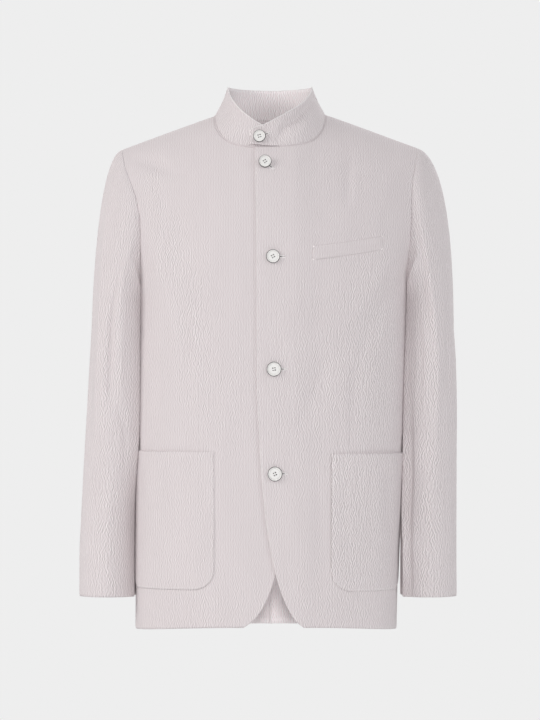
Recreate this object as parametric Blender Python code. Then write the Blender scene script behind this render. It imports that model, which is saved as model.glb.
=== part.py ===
"""A suit jacket with a stand collar, hollow and filled out as it is on a wearer.

Metres, +Z up, front towards -Y. +X is the wearer's left. The origin lies midway between the two
points where shoulder seam and neckline meet, which is where the wearer's shoulders carry it.
"""
import math
from collections import namedtuple

import bmesh
import bpy
import numpy as np
from mathutils import Matrix, Vector

for old in list(bpy.data.objects):
    bpy.data.objects.remove(old, do_unlink=True)

RIGHT, LEFT = -1, 1
FRONT, BACK = -1, 1

# Cloth walls and the space left at every seam
WALL = 0.0015
COLLAR_WALL = 0.0022
PATCH_WALL = 0.0012
SEAM_GAP = 0.0003
# Spare share of a half wall at creased seams, since the walls are made of flat facets
CREASE_SPARE, CREASE_MOST = 0.55, 1.40
LAP_LIFT = 0.0034
LAP_START, LAP_FULL = 0.075, 0.032

# Levels down the body
UNDERARM_Z = -0.272
HEM_SIDE_Z, HEM_FRONT_Z, HEM_BACK_Z = -0.738, -0.731, -0.740
YOKE_FRONT_Z, YOKE_BACK_Z = -0.112, -0.078
NECK_FRONT_Z, NECK_BACK_Z = -0.0480, -0.0040

# Shoulder line seen from the front, and how the cloth falls away before and behind it
SHOULDER_PEAK, SHOULDER_SLOPE, SHOULDER_ROUND = 0.0338, 0.380, 0.040
RIGHT_SHOULDER_LIFT, LEFT_SHOULDER_LIFT = 0.0012, 0.0032
SHOULDER_TIP_X, NECK_SIDE_X = 0.214, 0.0795
FRONT_FALL, FRONT_FALL_ROUND = 0.220, 1.70
BACK_FALL, BACK_FALL_ROUND = 0.190, 1.90
BODY_SQUARE = 2.40
# How a panel's rows climb from its centre to its side: the power at hem, yoke, front and back neck
SWEEP_HEM, SWEEP_YOKE, SWEEP_FRONT_NECK, SWEEP_BACK_NECK = 2.0, 1.6, 3.0, 2.1
# Rows lie closer together towards the hem
SKIRT_CROWD = 1.45

# Body sections: half widths to each side of the centre line, the widest place and the depths
Section = namedtuple("Section", "z right_half left_half side_y front_depth back_depth")
SECTIONS = (
    Section(-0.745, 0.1935, 0.1818, -0.010, 0.120, 0.126),
    Section(-0.660, 0.1930, 0.1836, -0.010, 0.120, 0.123),
    Section(-0.560, 0.1926, 0.1876, -0.010, 0.119, 0.117),
    Section(-0.450, 0.1924, 0.1930, -0.008, 0.117, 0.110),
    Section(-0.350, 0.1922, 0.1965, -0.005, 0.119, 0.114),
    Section(-0.272, 0.1915, 0.1990, 0.000, 0.122, 0.121),
    Section(-0.240, 0.1945, 0.2040, 0.002, 0.123, 0.124),
    Section(-0.200, 0.2020, 0.2150, 0.004, 0.123, 0.127),
    Section(-0.152, 0.2140, 0.2280, 0.006, 0.123, 0.128),
    Section(-0.097, 0.2350, 0.2450, 0.008, 0.122, 0.129),
    Section(-0.049, 0.2620, 0.2620, 0.010, 0.122, 0.129),
    Section(0.030, 0.2620, 0.2620, 0.010, 0.122, 0.129),
)

# Armhole seam as it runs from the shoulder tip to the underarm, seen from the front
Armhole = namedtuple("Armhole", "z right_x left_x")
ARMHOLES = (
    Armhole(-0.2720, 0.1915, 0.1990),
    Armhole(-0.2600, 0.1892, 0.1976),
    Armhole(-0.2350, 0.1862, 0.1970),
    Armhole(-0.2050, 0.1850, 0.1984),
    Armhole(-0.1780, 0.1848, 0.2006),
    Armhole(-0.1520, 0.1856, 0.2020),
    Armhole(-0.1250, 0.1902, 0.2030),
    Armhole(-0.0970, 0.1996, 0.2044),
    Armhole(-0.0720, 0.2088, 0.2090),
    Armhole(-0.0440, 0.2140, 0.2140),
)
BACK_ARMHOLE_EXTRA = 0.004

# Front edges from the neck to the cutaway hem corner: where each front ends across the centre
Edge = namedtuple("Edge", "z left_front right_front")
FRONT_EDGES = (
    Edge(-0.7400, 0.0640, -0.0560),
    Edge(-0.7335, 0.0520, -0.0420),
    Edge(-0.7260, 0.0410, -0.0300),
    Edge(-0.7120, 0.0300, -0.0160),
    Edge(-0.6880, 0.0185, -0.0030),
    Edge(-0.6520, 0.0070, 0.0090),
    Edge(-0.6060, -0.0020, 0.0165),
    Edge(-0.5560, -0.0080, 0.0215),
    Edge(-0.5080, -0.0120, 0.0240),
    Edge(-0.4500, -0.0150, 0.0250),
    Edge(-0.3650, -0.0180, 0.0240),
    Edge(-0.1820, -0.0185, 0.0220),
    Edge(-0.0480, -0.0210, 0.0200),
)

# Sleeve sections below the cap: outer and inner edges, middle and half depth
Sleeve = namedtuple("Sleeve", "z right_outer right_inner left_outer left_inner middle_y half_depth")
SLEEVES = (
    Sleeve(-0.310, 0.2580, 0.1862, 0.2655, 0.1945, 0.006, 0.072),
    Sleeve(-0.360, 0.2608, 0.1860, 0.2686, 0.1935, 0.006, 0.071),
    Sleeve(-0.430, 0.2645, 0.1858, 0.2698, 0.1915, 0.004, 0.068),
    Sleeve(-0.500, 0.2685, 0.1868, 0.2692, 0.1900, 0.002, 0.063),
    Sleeve(-0.570, 0.2720, 0.1885, 0.2690, 0.1885, 0.000, 0.058),
    Sleeve(-0.640, 0.2748, 0.1905, 0.2688, 0.1870, -0.002, 0.054),
    Sleeve(-0.692, 0.2748, 0.1930, 0.2692, 0.1868, -0.004, 0.052),
)
# How square a section is: its outer side, the corner that lies in front along the body, behind
SLEEVE_ROUND, SLEEVE_FRONT_SQUARE, SLEEVE_BACK_SQUARE = 2.0, 4.6, 3.0
# Space kept where a sleeve lies along the body, more beside a pocket, and how softly it bends there
SLEEVE_CLEAR, SLEEVE_POCKET_CLEAR, SLEEVE_EASE = 0.0034, 0.0024, 0.0020
SLEEVE_POCKET_START, SLEEVE_POCKET_FULL = -0.450, -0.475
# Sleeve seams, as shares of the half turn from the shoulder tip to the underarm
FRONT_SEAM_SHARE, BACK_SEAM_SHARE = 10 / 12, 8 / 12

# How the cap leaves the armhole: direction out, towards the back, up, and its pull
CapPull = namedtuple("CapPull", "out back up right_reach left_reach landing")
CAP_PULLS = {
    "top": CapPull(0.96, 0.00, -0.27, 0.118, 0.175, 0.060),
    "front": CapPull(0.80, -0.35, -0.48, 0.080, 0.080, 0.140),
    "under": CapPull(0.97, 0.08, -0.20, 0.008, 0.008, 0.030),
    "back": CapPull(0.80, 0.35, -0.48, 0.080, 0.080, 0.140),
}

# Large soft folds: a shallow furrow or ridge between two places seen from the front
Fold = namedtuple("Fold", "piece x0 z0 x1 z1 rise width")
FOLDS = (
    Fold("front_right", -0.182, -0.140, -0.128, -0.330, 0.0030, 0.016),
    Fold("front_right", -0.150, -0.150, -0.095, -0.420, -0.0022, 0.022),
    Fold("front_left", 0.190, -0.235, 0.112, -0.330, -0.0034, 0.018),
    Fold("front_left", 0.175, -0.140, 0.150, -0.300, 0.0022, 0.018),
    Fold("front_left", 0.085, -0.330, 0.040, -0.450, -0.0018, 0.024),
    Fold("back_left", 0.168, -0.160, 0.120, -0.430, -0.0036, 0.024),
    Fold("back_right", -0.168, -0.160, -0.120, -0.430, -0.0036, 0.024),
)
# Sleeve folds run down the arm at an angle round it, 0 outermost and +90 degrees in front
ArmFold = namedtuple("ArmFold", "side angle0 z0 angle1 z1 rise width")
ARM_FOLDS = (
    ArmFold(RIGHT, 1.05, -0.150, 1.30, -0.420, -0.0038, 0.26),
    ArmFold(RIGHT, 0.30, -0.330, 0.75, -0.470, -0.0022, 0.22),
    ArmFold(LEFT, 1.95, -0.200, 1.60, -0.330, -0.0034, 0.26),
    ArmFold(LEFT, 0.85, -0.300, 1.15, -0.480, -0.0022, 0.24),
    ArmFold(RIGHT, -1.20, -0.170, -1.45, -0.430, -0.0036, 0.26),
    ArmFold(LEFT, -1.20, -0.170, -1.45, -0.430, -0.0036, 0.26),
)

# Collar band: top edge ring, lap ends and the free lower edge of its tab
COLLAR_TOP_HALF, COLLAR_TOP_FRONT, COLLAR_TOP_BACK = 0.0600, 0.0660, 0.0500
COLLAR_TOP_SIDE_Y = 0.004
COLLAR_TOP_SIDE_Z, COLLAR_TOP_FRONT_Z, COLLAR_TOP_BACK_Z = 0.0430, -0.0158, 0.0405
COLLAR_OVER_END_X, COLLAR_SKEW, COLLAR_LAP_SLOPE = -0.0290, 0.0090, 0.45
TAB_FREE_X, TAB_SLIT = 0.0130, 0.0022
TAB_CORNER, TAB_DROP = 0.0120, 0.0060
COLLAR_LAP_LIFT, COLLAR_HOLLOW = 0.0040, 0.0016
COLLAR_ROUND, TAB_UPRIGHT = 0.90, 0.75

# Pockets: top and bottom seen from the front, inner edge and how near the side seam they reach
Pocket = namedtuple("Pocket", "node side front top bottom inner_x outer_share corner gape")
POCKET_SLIDE = 0.25
POCKETS = (
    Pocket("pocket_right", RIGHT, "front_right", -0.4815, -0.6785, 0.0790, 0.975, 0.030, 0.0012),
    Pocket("pocket_left", LEFT, "front_left", -0.4845, -0.6810, 0.0865, 0.975, 0.030, 0.0030),
)
WELT_INNER, WELT_OUTER = (0.0600, -0.2100), (0.1590, -0.1945)
WELT_HEIGHT, WELT_EXTRA = 0.0200, 0.0003
# Patches clear the fronts' facets by a little more than the seam gap
PATCH_LIFT = WALL / 2 + SEAM_GAP + PATCH_WALL / 2 + 0.0002
# A pocket's mouth gapes from this share of its height up
GAPE_START = 0.55

# Buttons: place seen from the front and the radius
Button = namedtuple("Button", "node x z radius")
BUTTONS = (
    Button("button_1", -0.0138, -0.0325, 0.0090),
    Button("button_2", -0.0070, -0.0675, 0.0092),
    Button("button_3", 0.0043, -0.2035, 0.0098),
    Button("button_4", 0.0057, -0.3645, 0.0104),
    Button("button_5", 0.0071, -0.5130, 0.0104),
)
BUTTON_BACK_GAP, BUTTON_EDGE, BUTTON_RIM, BUTTON_DISH = 0.0003, 0.0014, 0.0027, 0.0019
BUTTON_RIM_WIDTH = 0.0020
HOLE_RADIUS, HOLE_CIRCLE, HOLE_COUNT = 0.0009, 0.0022, 4

# Step for measuring a slope
SMALL_STEP = 0.0004

# Fineness of the walls
SKIRT_ROWS, ARMHOLE_ROWS, SHOULDER_ROWS = 17, 12, 6
PANEL_COLUMNS = 12
# How strongly a panel's columns crowd towards its side, where it turns most
COLUMN_CROWD = 1.8
CAP_ROWS, ARM_ROWS = 8, 9
TAB_COLUMNS, COLLAR_ROWS = 2, 3
POCKET_CORNER_COLUMNS, POCKET_ROWS = 4, 5
WELT_ROWS = 2
BUTTON_SIDES, HOLE_SIDES = 18, 6


def curve(xs, ys, at):
    """Smooth curve through a table's points with no overshoot (monotone cubic)."""
    xs = np.asarray(xs, float)
    ys = np.asarray(ys, float)
    order = np.argsort(xs)
    xs, ys = xs[order], ys[order]
    step = np.diff(xs)
    slope = np.diff(ys) / step
    tangent = np.zeros_like(ys)
    tangent[0], tangent[-1] = slope[0], slope[-1]
    same = slope[:-1] * slope[1:] > 0
    before, after = 2 * step[1:] + step[:-1], step[1:] + 2 * step[:-1]
    with np.errstate(divide="ignore", invalid="ignore"):
        mean = (before + after) / (before / slope[:-1] + after / slope[1:])
    tangent[1:-1] = np.where(same, mean, 0.0)
    at = np.clip(np.asarray(at, float), xs[0], xs[-1])
    k = np.clip(np.searchsorted(xs, at) - 1, 0, len(xs) - 2)
    u = (at - xs[k]) / step[k]
    return (
        (2 * u**3 - 3 * u**2 + 1) * ys[k]
        + (u**3 - 2 * u**2 + u) * step[k] * tangent[k]
        + (3 * u**2 - 2 * u**3) * ys[k + 1]
        + (u**3 - u**2) * step[k] * tangent[k + 1]
    )


def column(table, name, at):
    """A named column of a table, read at a height."""
    return curve([row.z for row in table], [getattr(row, name) for row in table], at)


def sided(table, name, side, at):
    """A column that the table states for each side of the wearer."""
    return column(table, ("left_" if side == LEFT else "right_") + name, at)


def unit(v):
    return v / np.maximum(np.linalg.norm(v, axis=-1, keepdims=True), 1e-12)


def smooth(a, b, x):
    u = np.clip((x - a) / (b - a), 0.0, 1.0)
    return u * u * (3 - 2 * u)


# Body surface


def shoulder_z(side, x):
    lift = LEFT_SHOULDER_LIFT if side == LEFT else RIGHT_SHOULDER_LIFT
    line = SHOULDER_PEAK - SHOULDER_SLOPE * np.hypot(x, SHOULDER_ROUND)
    return line + lift * smooth(0, NECK_SIDE_X, np.abs(x))


def body_surface(side, face, x, z):
    """Points of the body's middle surface, given the place seen from the front."""
    reach = np.clip(np.abs(x) / sided(SECTIONS, "half", side, z), 0.0, 1.0)
    round_off = (1 - reach**BODY_SQUARE) ** (1 / BODY_SQUARE)
    fall, power = (FRONT_FALL, FRONT_FALL_ROUND) if face == FRONT else (BACK_FALL, BACK_FALL_ROUND)
    below = np.clip((shoulder_z(side, x) - z) / fall, 0.0, 1.0)
    swell = (1 - (1 - below) ** power) ** (1 / power)
    depth = column(SECTIONS, "front_depth" if face == FRONT else "back_depth", z)
    y = column(SECTIONS, "side_y", z) + face * depth * round_off * swell
    return np.stack([x * side, y, z], axis=-1)


TIP_Z = {side: float(shoulder_z(side, SHOULDER_TIP_X)) for side in (RIGHT, LEFT)}


def armhole_place(side, face, angle):
    """Armhole seam, from the shoulder tip (angle 0) to the underarm (angle pi)."""
    z = (TIP_Z[side] + UNDERARM_Z) / 2 + (TIP_Z[side] - UNDERARM_Z) / 2 * np.cos(angle)
    x = sided(ARMHOLES, "x", side, z)
    if face == BACK:
        x = x + BACK_ARMHOLE_EXTRA * np.sin(angle) ** 2
    return x, z


def panel_rows(side, face, rows):
    """Rows of a body panel from hem to neckline: ends seen from the front, sweep and late rise."""
    skirt, armhole, shoulder = rows
    center_hem = HEM_FRONT_Z if face == FRONT else HEM_BACK_Z
    center_yoke = YOKE_FRONT_Z if face == FRONT else YOKE_BACK_Z
    center_neck = NECK_FRONT_Z if face == FRONT else NECK_BACK_Z
    up = np.linspace(0, 1, skirt + 1) ** SKIRT_CROWD
    z_in = [center_hem + (UNDERARM_Z - center_hem) * up]
    z_out = [HEM_SIDE_Z + (UNDERARM_Z - HEM_SIDE_Z) * up]
    x_out = [sided(SECTIONS, "half", side, z_out[0])]
    sweep, late = [np.full(skirt + 1, SWEEP_HEM)], [np.zeros(skirt + 1)]
    part = np.linspace(0, 1, armhole + 1)[1:]
    x, z = armhole_place(side, face, math.pi * (1 - part))
    x_out.append(x)
    z_out.append(z)
    z_in.append(UNDERARM_Z + (center_yoke - UNDERARM_Z) * part)
    sweep.append(SWEEP_HEM + (SWEEP_YOKE - SWEEP_HEM) * part)
    late.append(np.zeros(armhole))
    part = np.linspace(0, 1, shoulder + 1)[1:]
    x = SHOULDER_TIP_X + (NECK_SIDE_X - SHOULDER_TIP_X) * part
    x_out.append(x)
    z_out.append(shoulder_z(side, x))
    z_in.append(center_yoke + (center_neck - center_yoke) * part)
    neck_sweep = SWEEP_FRONT_NECK if face == FRONT else SWEEP_BACK_NECK
    sweep.append(SWEEP_YOKE + (neck_sweep - SWEEP_YOKE) * part)
    late.append(part)
    return tuple(np.concatenate(v)[:, None] for v in (z_in, z_out, x_out, sweep, late))


def panel_surface(side, face, rows=(SKIRT_ROWS, ARMHOLE_ROWS, SHOULDER_ROWS), columns=PANEL_COLUMNS):
    """Middle surface of a panel: rows from the hem up, columns from the centre to the side."""
    z_in, z_out, x_out, sweep, late = panel_rows(side, face, rows)
    s = np.linspace(0, 1, columns + 1)[None, :]
    reach = 1 - (1 - s) ** COLUMN_CROWD
    z = z_in + (z_out - z_in) * (reach + (s - reach) * late) ** sweep
    x_in = np.zeros_like(z_in)
    if face == FRONT:
        x_in = side * column(FRONT_EDGES, "left_front" if side == LEFT else "right_front", z_in)
    x = x_in + (x_out - x_in) * reach
    return body_surface(side, face, x, z)


def grid_normals(points, side_tangent=None, closed=False):
    """Normals of a grid of points; a tangent across the last column can come from outside."""
    along = np.gradient(points, axis=0, edge_order=2)
    if closed:
        across = np.roll(points, -1, axis=1) - np.roll(points, 1, axis=1)
    else:
        across = np.gradient(points, axis=1, edge_order=2)
    if side_tangent is not None:
        known = np.isfinite(side_tangent[:, 0])
        across[known, -1] = side_tangent[known]
    return unit(np.cross(across, along))


def panel_pair(side):
    """Both panels of one side with normals that agree where they are sewn together."""
    front, back = panel_surface(side, FRONT), panel_surface(side, BACK)
    joined = np.full((len(front), 3), np.nan)
    sewn = np.ones(len(front), bool)
    sewn[SKIRT_ROWS + 1 : SKIRT_ROWS + ARMHOLE_ROWS] = False
    joined[sewn] = back[sewn, -2] - front[sewn, -2]
    front_n = grid_normals(front, joined) * side
    back_n = grid_normals(back, -joined) * -side
    return (front, front_n), (back, back_n)


def drawn_in(points, seam=(), centre=False):
    """Panel with half the seam gap taken off along its sewn side rows and its centre edge."""
    points = points.copy()
    rows = np.asarray(seam, int)
    points[rows, -1] += unit(points[rows, -2] - points[rows, -1]) * SEAM_GAP / 2
    if centre:
        points[:, 0] += unit(points[:, 1] - points[:, 0]) * SEAM_GAP / 2
    return points


def fold_rise(piece, points):
    """Outward rise of a panel's folds at its points."""
    rise = np.zeros(points.shape[:-1])
    for fold in FOLDS:
        if fold.piece != piece:
            continue
        start = np.array([fold.x0, fold.z0])
        run = np.array([fold.x1, fold.z1]) - start
        offset = points[..., [0, 2]] - start
        part = np.clip((offset @ run) / (run @ run), 0.0, 1.0)
        away = np.linalg.norm(offset - part[..., None] * run, axis=-1)
        fade = np.sin(math.pi * np.clip(0.12 + 0.76 * part, 0, 1))
        rise += fold.rise * fade * np.exp(-((away / fold.width) ** 2))
    return rise


def lap_rise(x):
    """How far the left front and collar stand out to pass over the right ones."""
    return LAP_LIFT * smooth(LAP_START, LAP_FULL, x)


# Solids


def make_object(name, mesh_builder, material):
    mesh = bpy.data.meshes.new(name)
    bm = bmesh.new()
    mesh_builder(bm)
    bmesh.ops.recalc_face_normals(bm, faces=bm.faces[:])
    bmesh.ops.triangulate(bm, faces=bm.faces[:])
    bm.to_mesh(mesh)
    bm.free()
    obj = bpy.data.objects.new(name, mesh)
    bpy.context.scene.collection.objects.link(obj)
    mesh.materials.append(material)
    return obj


def material(name, color, roughness):
    made = bpy.data.materials.new(name)
    made.use_nodes = True
    shader = made.node_tree.nodes["Principled BSDF"]
    shader.inputs["Base Color"].default_value = (*color, 1.0)
    shader.inputs["Roughness"].default_value = roughness
    return made


CLOTH_COLOR = (0.66, 0.60, 0.61)
BUTTON_COLOR = (0.83, 0.82, 0.80)


def wall(name, points, normals, thickness, rise=0.0):
    """A cloth wall: an outer and an inner skin over one middle surface, closed round its rim."""
    rise = np.broadcast_to(rise, points.shape[:-1])[..., None]
    outer = points + normals * (rise + thickness / 2)
    inner = points + normals * (rise - thickness / 2)
    rows, columns = points.shape[:2]

    def build(bm):
        skins = []
        for skin in (outer, inner):
            skins.append([[bm.verts.new(p) for p in row] for row in skin])
        for r in range(rows - 1):
            for c in range(columns - 1):
                for k, skin in enumerate(skins):
                    quad = (skin[r][c], skin[r][c + 1], skin[r + 1][c + 1], skin[r + 1][c])
                    bm.faces.new(quad if k == 0 else quad[::-1])
        rim = [(0, c) for c in range(columns)]
        rim += [(r, columns - 1) for r in range(1, rows)]
        rim += [(rows - 1, c) for c in range(columns - 2, -1, -1)]
        rim += [(r, 0) for r in range(rows - 2, 0, -1)]
        for (r0, c0), (r1, c1) in zip(rim, rim[1:] + rim[:1]):
            bm.faces.new((skins[0][r1][c1], skins[0][r0][c0], skins[1][r0][c0], skins[1][r1][c1]))

    return make_object(name, build, material(name, CLOTH_COLOR, 0.85))


# Body panels

SIDE_SEAM = list(range(0, SKIRT_ROWS + 1))
SHOULDER_SEAM = list(range(SKIRT_ROWS + ARMHOLE_ROWS, SKIRT_ROWS + ARMHOLE_ROWS + SHOULDER_ROWS + 1))
pairs = {side: panel_pair(side) for side in (RIGHT, LEFT)}
middles = {}
for side, side_name in ((RIGHT, "right"), (LEFT, "left")):
    for (points, normals), face_name in zip(pairs[side], ("front", "back")):
        piece = f"{face_name}_{side_name}"
        rise = fold_rise(piece, points)
        if piece == "front_left":
            rise = rise + lap_rise(points[..., 0])
        middles[piece] = points + normals * rise[..., None]
        points = drawn_in(points, SIDE_SEAM + SHOULDER_SEAM, centre=face_name == "back")
        wall(piece, points, normals, WALL, rise)


# Sleeves


def body_side(side, y, z):
    """Half width of the body's side at a depth, below the shoulders."""
    middle = column(SECTIONS, "side_y", z)
    before, behind = column(SECTIONS, "front_depth", z), column(SECTIONS, "back_depth", z)
    depth = np.where(y < middle, before, behind)
    off = np.clip(np.abs(y - middle) / depth, 0.0, 1.0)
    return sided(SECTIONS, "half", side, z) * (1 - off**BODY_SQUARE) ** (1 / BODY_SQUARE)


def sleeve_ring(side, angle, z):
    """A sleeve section below the cap: outermost at angle 0, in front at a quarter turn."""
    outer, inner = sided(SLEEVES, "outer", side, z), sided(SLEEVES, "inner", side, z)
    middle, depth = column(SLEEVES, "middle_y", z), column(SLEEVES, "half_depth", z)
    across, along = np.cos(angle), np.sin(angle)
    inner_square = np.where(along > 0, SLEEVE_FRONT_SQUARE, SLEEVE_BACK_SQUARE)
    square = np.where(across < 0, inner_square, SLEEVE_ROUND)
    swell = (np.abs(across) ** square + np.abs(along) ** square) ** (-1 / square)
    x = (outer + inner) / 2 + (outer - inner) / 2 * across * swell
    y = middle - depth * along * swell
    clear = SLEEVE_CLEAR + SLEEVE_POCKET_CLEAR * smooth(SLEEVE_POCKET_START, SLEEVE_POCKET_FULL, z)
    beside = body_side(side, y, z) + clear
    x = (x + beside + np.hypot(x - beside, SLEEVE_EASE)) / 2
    return np.stack([x * side, y, z * np.ones_like(angle)], axis=-1)


def cap_pull(side, angle):
    """Direction and strength with which the cap leaves the armhole, and how it lands."""
    weights = {
        "top": np.clip(np.cos(angle), 0, 1) ** 2,
        "front": np.clip(np.sin(angle), 0, 1) ** 2,
        "under": np.clip(-np.cos(angle), 0, 1) ** 2,
        "back": np.clip(-np.sin(angle), 0, 1) ** 2,
    }
    leave, reach, landing = 0.0, 0.0, 0.0
    for place, pull in CAP_PULLS.items():
        weight = weights[place]
        leave = leave + weight[..., None] * np.array([pull.out * side, pull.back, pull.up])
        reach = reach + weight * (pull.left_reach if side == LEFT else pull.right_reach)
        landing = landing + weight * pull.landing
    return unit(leave), reach, landing


def armhole_loop(side, side_name):
    """Armhole seam from the underarm up the back, over the tip and down the front."""
    first, last = SKIRT_ROWS, SKIRT_ROWS + ARMHOLE_ROWS
    up, down = slice(first + 1, last), slice(last, first - 1, -1)
    (_, front_normals), (_, back_normals) = pairs[side]
    points = np.concatenate([middles[f"back_{side_name}"][up, -1], middles[f"front_{side_name}"][down, -1]])
    normals = np.concatenate([back_normals[up, -1], front_normals[down, -1]])
    angle = np.linspace(-math.pi, math.pi, 2 * ARMHOLE_ROWS + 1)[1:]
    return angle, points, normals


def sleeve_surface(side, angle, start, body_normal, cap_rows=CAP_ROWS, arm_rows=ARM_ROWS):
    """Middle surface of a whole sleeve: rows from the armhole to the cuff, columns by angle."""
    leave, reach, landing = cap_pull(side, angle)
    seam = unit(np.roll(start, -1, axis=0) - np.roll(start, 1, axis=0))
    across = np.cross(seam, leave)
    square = np.linalg.norm(across, axis=-1)
    crease = np.linalg.norm(np.cross(body_normal, unit(across)), axis=-1)
    spare = SEAM_GAP + WALL / 2 * np.clip(crease + CREASE_SPARE, 0, CREASE_MOST)
    start = start + leave * (spare / square)[:, None]
    top_z = SLEEVES[0].z
    end = sleeve_ring(side, angle, top_z)
    down = (sleeve_ring(side, angle, top_z - SMALL_STEP) - end) / SMALL_STEP
    rows = []
    for u in np.linspace(0, 1, cap_rows + 1):
        rows.append(
            (2 * u**3 - 3 * u**2 + 1) * start
            + (u**3 - 2 * u**2 + u) * leave * reach[:, None]
            + (3 * u**2 - 2 * u**3) * end
            + (u**3 - u**2) * down * landing[:, None]
        )
    for z in np.linspace(top_z, SLEEVES[-1].z, arm_rows + 1)[1:]:
        rows.append(sleeve_ring(side, angle, z))
    return np.stack(rows)


def arm_fold_rise(side, angle, points):
    rise = np.zeros(points.shape[:-1])
    turn = np.broadcast_to(angle[None, :], rise.shape)
    for fold in ARM_FOLDS:
        if fold.side != side:
            continue
        part = np.clip((points[..., 2] - fold.z0) / (fold.z1 - fold.z0), -0.25, 1.25)
        away = (turn - (fold.angle0 + (fold.angle1 - fold.angle0) * part)) / fold.width
        fade = np.cos(math.pi / 1.5 * np.clip(part - 0.5, -0.75, 0.75)) ** 2
        rise += fold.rise * fade * np.exp(-(away**2))
    return rise * smooth(0, CAP_ROWS * 0.6, np.arange(len(points)))[:, None]


for side, side_name in ((RIGHT, "right"), (LEFT, "left")):
    angle, start, body_normal = armhole_loop(side, side_name)
    surface = sleeve_surface(side, angle, start, body_normal)
    normals = grid_normals(surface, closed=True) * side
    rise = arm_fold_rise(side, angle, surface)
    around = len(angle)
    back_seam = round(ARMHOLE_ROWS * (1 - BACK_SEAM_SHARE)) - 1
    front_seam = round(ARMHOLE_ROWS * (1 + FRONT_SEAM_SHARE)) - 1
    for piece, columns in (
        ("top_sleeve", np.arange(back_seam, front_seam + 1)),
        ("under_sleeve", np.arange(front_seam, around + back_seam + 1) % around),
    ):
        points = surface[:, columns].copy()
        points[:, 0] += unit(points[:, 1] - points[:, 0]) * SEAM_GAP / 2
        points[:, -1] += unit(points[:, -2] - points[:, -1]) * SEAM_GAP / 2
        wall(f"{piece}_{side_name}", points, normals[:, columns], WALL, rise[:, columns])


# Collar


def neckline():
    """Neckline points from the right front round the back to the left front, with their normals."""
    runs = []
    for piece, backwards in (("front_right", False), ("back_right", True), ("back_left", False), ("front_left", True)):
        face = 0 if piece.startswith("front") else 1
        points = middles[piece][-1]
        normals = pairs[LEFT if piece.endswith("left") else RIGHT][face][1][-1]
        order = slice(None, None, -1) if backwards else slice(None)
        runs.append((points[order], normals[order], np.full(len(points), (FRONT, BACK)[face])))
    keep = [slice(None), slice(1, None), slice(1, None), slice(1, None)]
    points, normals, faces = (np.concatenate([run[k][cut] for run, cut in zip(runs, keep)]) for k in range(3))
    tab = np.linspace(points[-1, 0], COLLAR_OVER_END_X, TAB_COLUMNS + 1)[1:]
    beyond = np.repeat(points[-1:], TAB_COLUMNS, 0)
    beyond[:, 0] = tab
    points = np.concatenate([points, beyond])
    normals = np.concatenate([normals, np.repeat(normals[-1:], TAB_COLUMNS, 0)])
    return points, normals, np.concatenate([faces, np.full(TAB_COLUMNS, FRONT)])


def collar_top(points, faces):
    """The band's top edge above each point of the neckline."""
    across = np.clip(points[:, 0] / NECK_SIDE_X, -1, 1)
    forward = np.sqrt(1 - across**2)
    from_side = np.where(np.arange(len(points)) > len(points) / 2, across, -across)
    away = np.arccos(from_side) / (math.pi / 2)
    away = np.minimum(away, 1 + COLLAR_LAP_SLOPE * (away - 1))
    depth = np.where(faces == FRONT, -COLLAR_TOP_FRONT, COLLAR_TOP_BACK)
    low = np.where(faces == FRONT, COLLAR_TOP_FRONT_Z, COLLAR_TOP_BACK_Z)
    tab = smooth(0, COLLAR_OVER_END_X, points[:, 0]) * (np.arange(len(points)) > len(points) / 2)
    skew = np.where(faces == FRONT, COLLAR_SKEW * forward**3 * (1 - TAB_UPRIGHT * tab), 0.0)
    x = np.sign(across) * np.abs(across) ** COLLAR_ROUND * COLLAR_TOP_HALF - skew
    y = COLLAR_TOP_SIDE_Y + depth * forward
    z = COLLAR_TOP_SIDE_Z + (low - COLLAR_TOP_SIDE_Z) * away
    return np.stack([x, y, z], axis=-1)


neck, neck_normals, neck_faces = neckline()
top = collar_top(neck, neck_faces)
left_lap = (neck_faces == FRONT) & (np.arange(len(neck)) > len(neck) / 2)
corner = np.clip((TAB_CORNER + COLLAR_OVER_END_X - neck[:, 0]) / TAB_CORNER, 0, 1)
top[:, 2] -= np.where(left_lap, TAB_DROP * (1 - np.sqrt(1 - corner**2)), 0.0)
rising = unit(top - neck)
crease = np.linalg.norm(np.cross(neck_normals, unit(np.cross(np.gradient(neck, axis=0), rising))), axis=-1)
slit = np.where(left_lap, TAB_SLIT * smooth(TAB_FREE_X, COLLAR_OVER_END_X, neck[:, 0]), 0.0)
bottom = neck + rising * (SEAM_GAP + COLLAR_WALL / 2 * crease + slit)[:, None]
up = np.linspace(0, 1, COLLAR_ROWS + 1)[:, None]
collar_points = bottom + (top - bottom) * up[..., None]
collar_normals = -grid_normals(collar_points)
collar_points = collar_points - collar_normals * (COLLAR_HOLLOW * np.sin(math.pi * up))[..., None]
collar_rise = np.where(left_lap, COLLAR_LAP_LIFT * smooth(LAP_START, LAP_FULL, neck[:, 0]), 0.0)
collar_rise = collar_rise * up
wall("collar", collar_points, collar_normals, COLLAR_WALL, collar_rise)


# Pockets and welt, laid on their front


def front_ends(side, z):
    """Where a front's columns begin and end at a height below the underarm, from the centre out."""
    edge = side * column(FRONT_EDGES, "left_front" if side == LEFT else "right_front", z)
    outer = np.where(z > UNDERARM_Z, sided(ARMHOLES, "x", side, z), sided(SECTIONS, "half", side, z))
    return edge, outer


def share_at(side, x, z):
    """Share of the way across a front, in its own columns, of a place seen from the front."""
    edge, outer = front_ends(side, z)
    return 1 - (1 - (x - edge) / (outer - edge)) ** (1 / COLUMN_CROWD)


def own_columns(first, last, extra=()):
    """Shares between two places that take in every column of the front between them."""
    lines = np.arange(PANEL_COLUMNS + 1) / PANEL_COLUMNS
    inside = lines[(lines > first + 0.004) & (lines < last - 0.004)]
    return np.unique(np.concatenate([[first, last], inside, np.asarray(extra, float)]))


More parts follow.
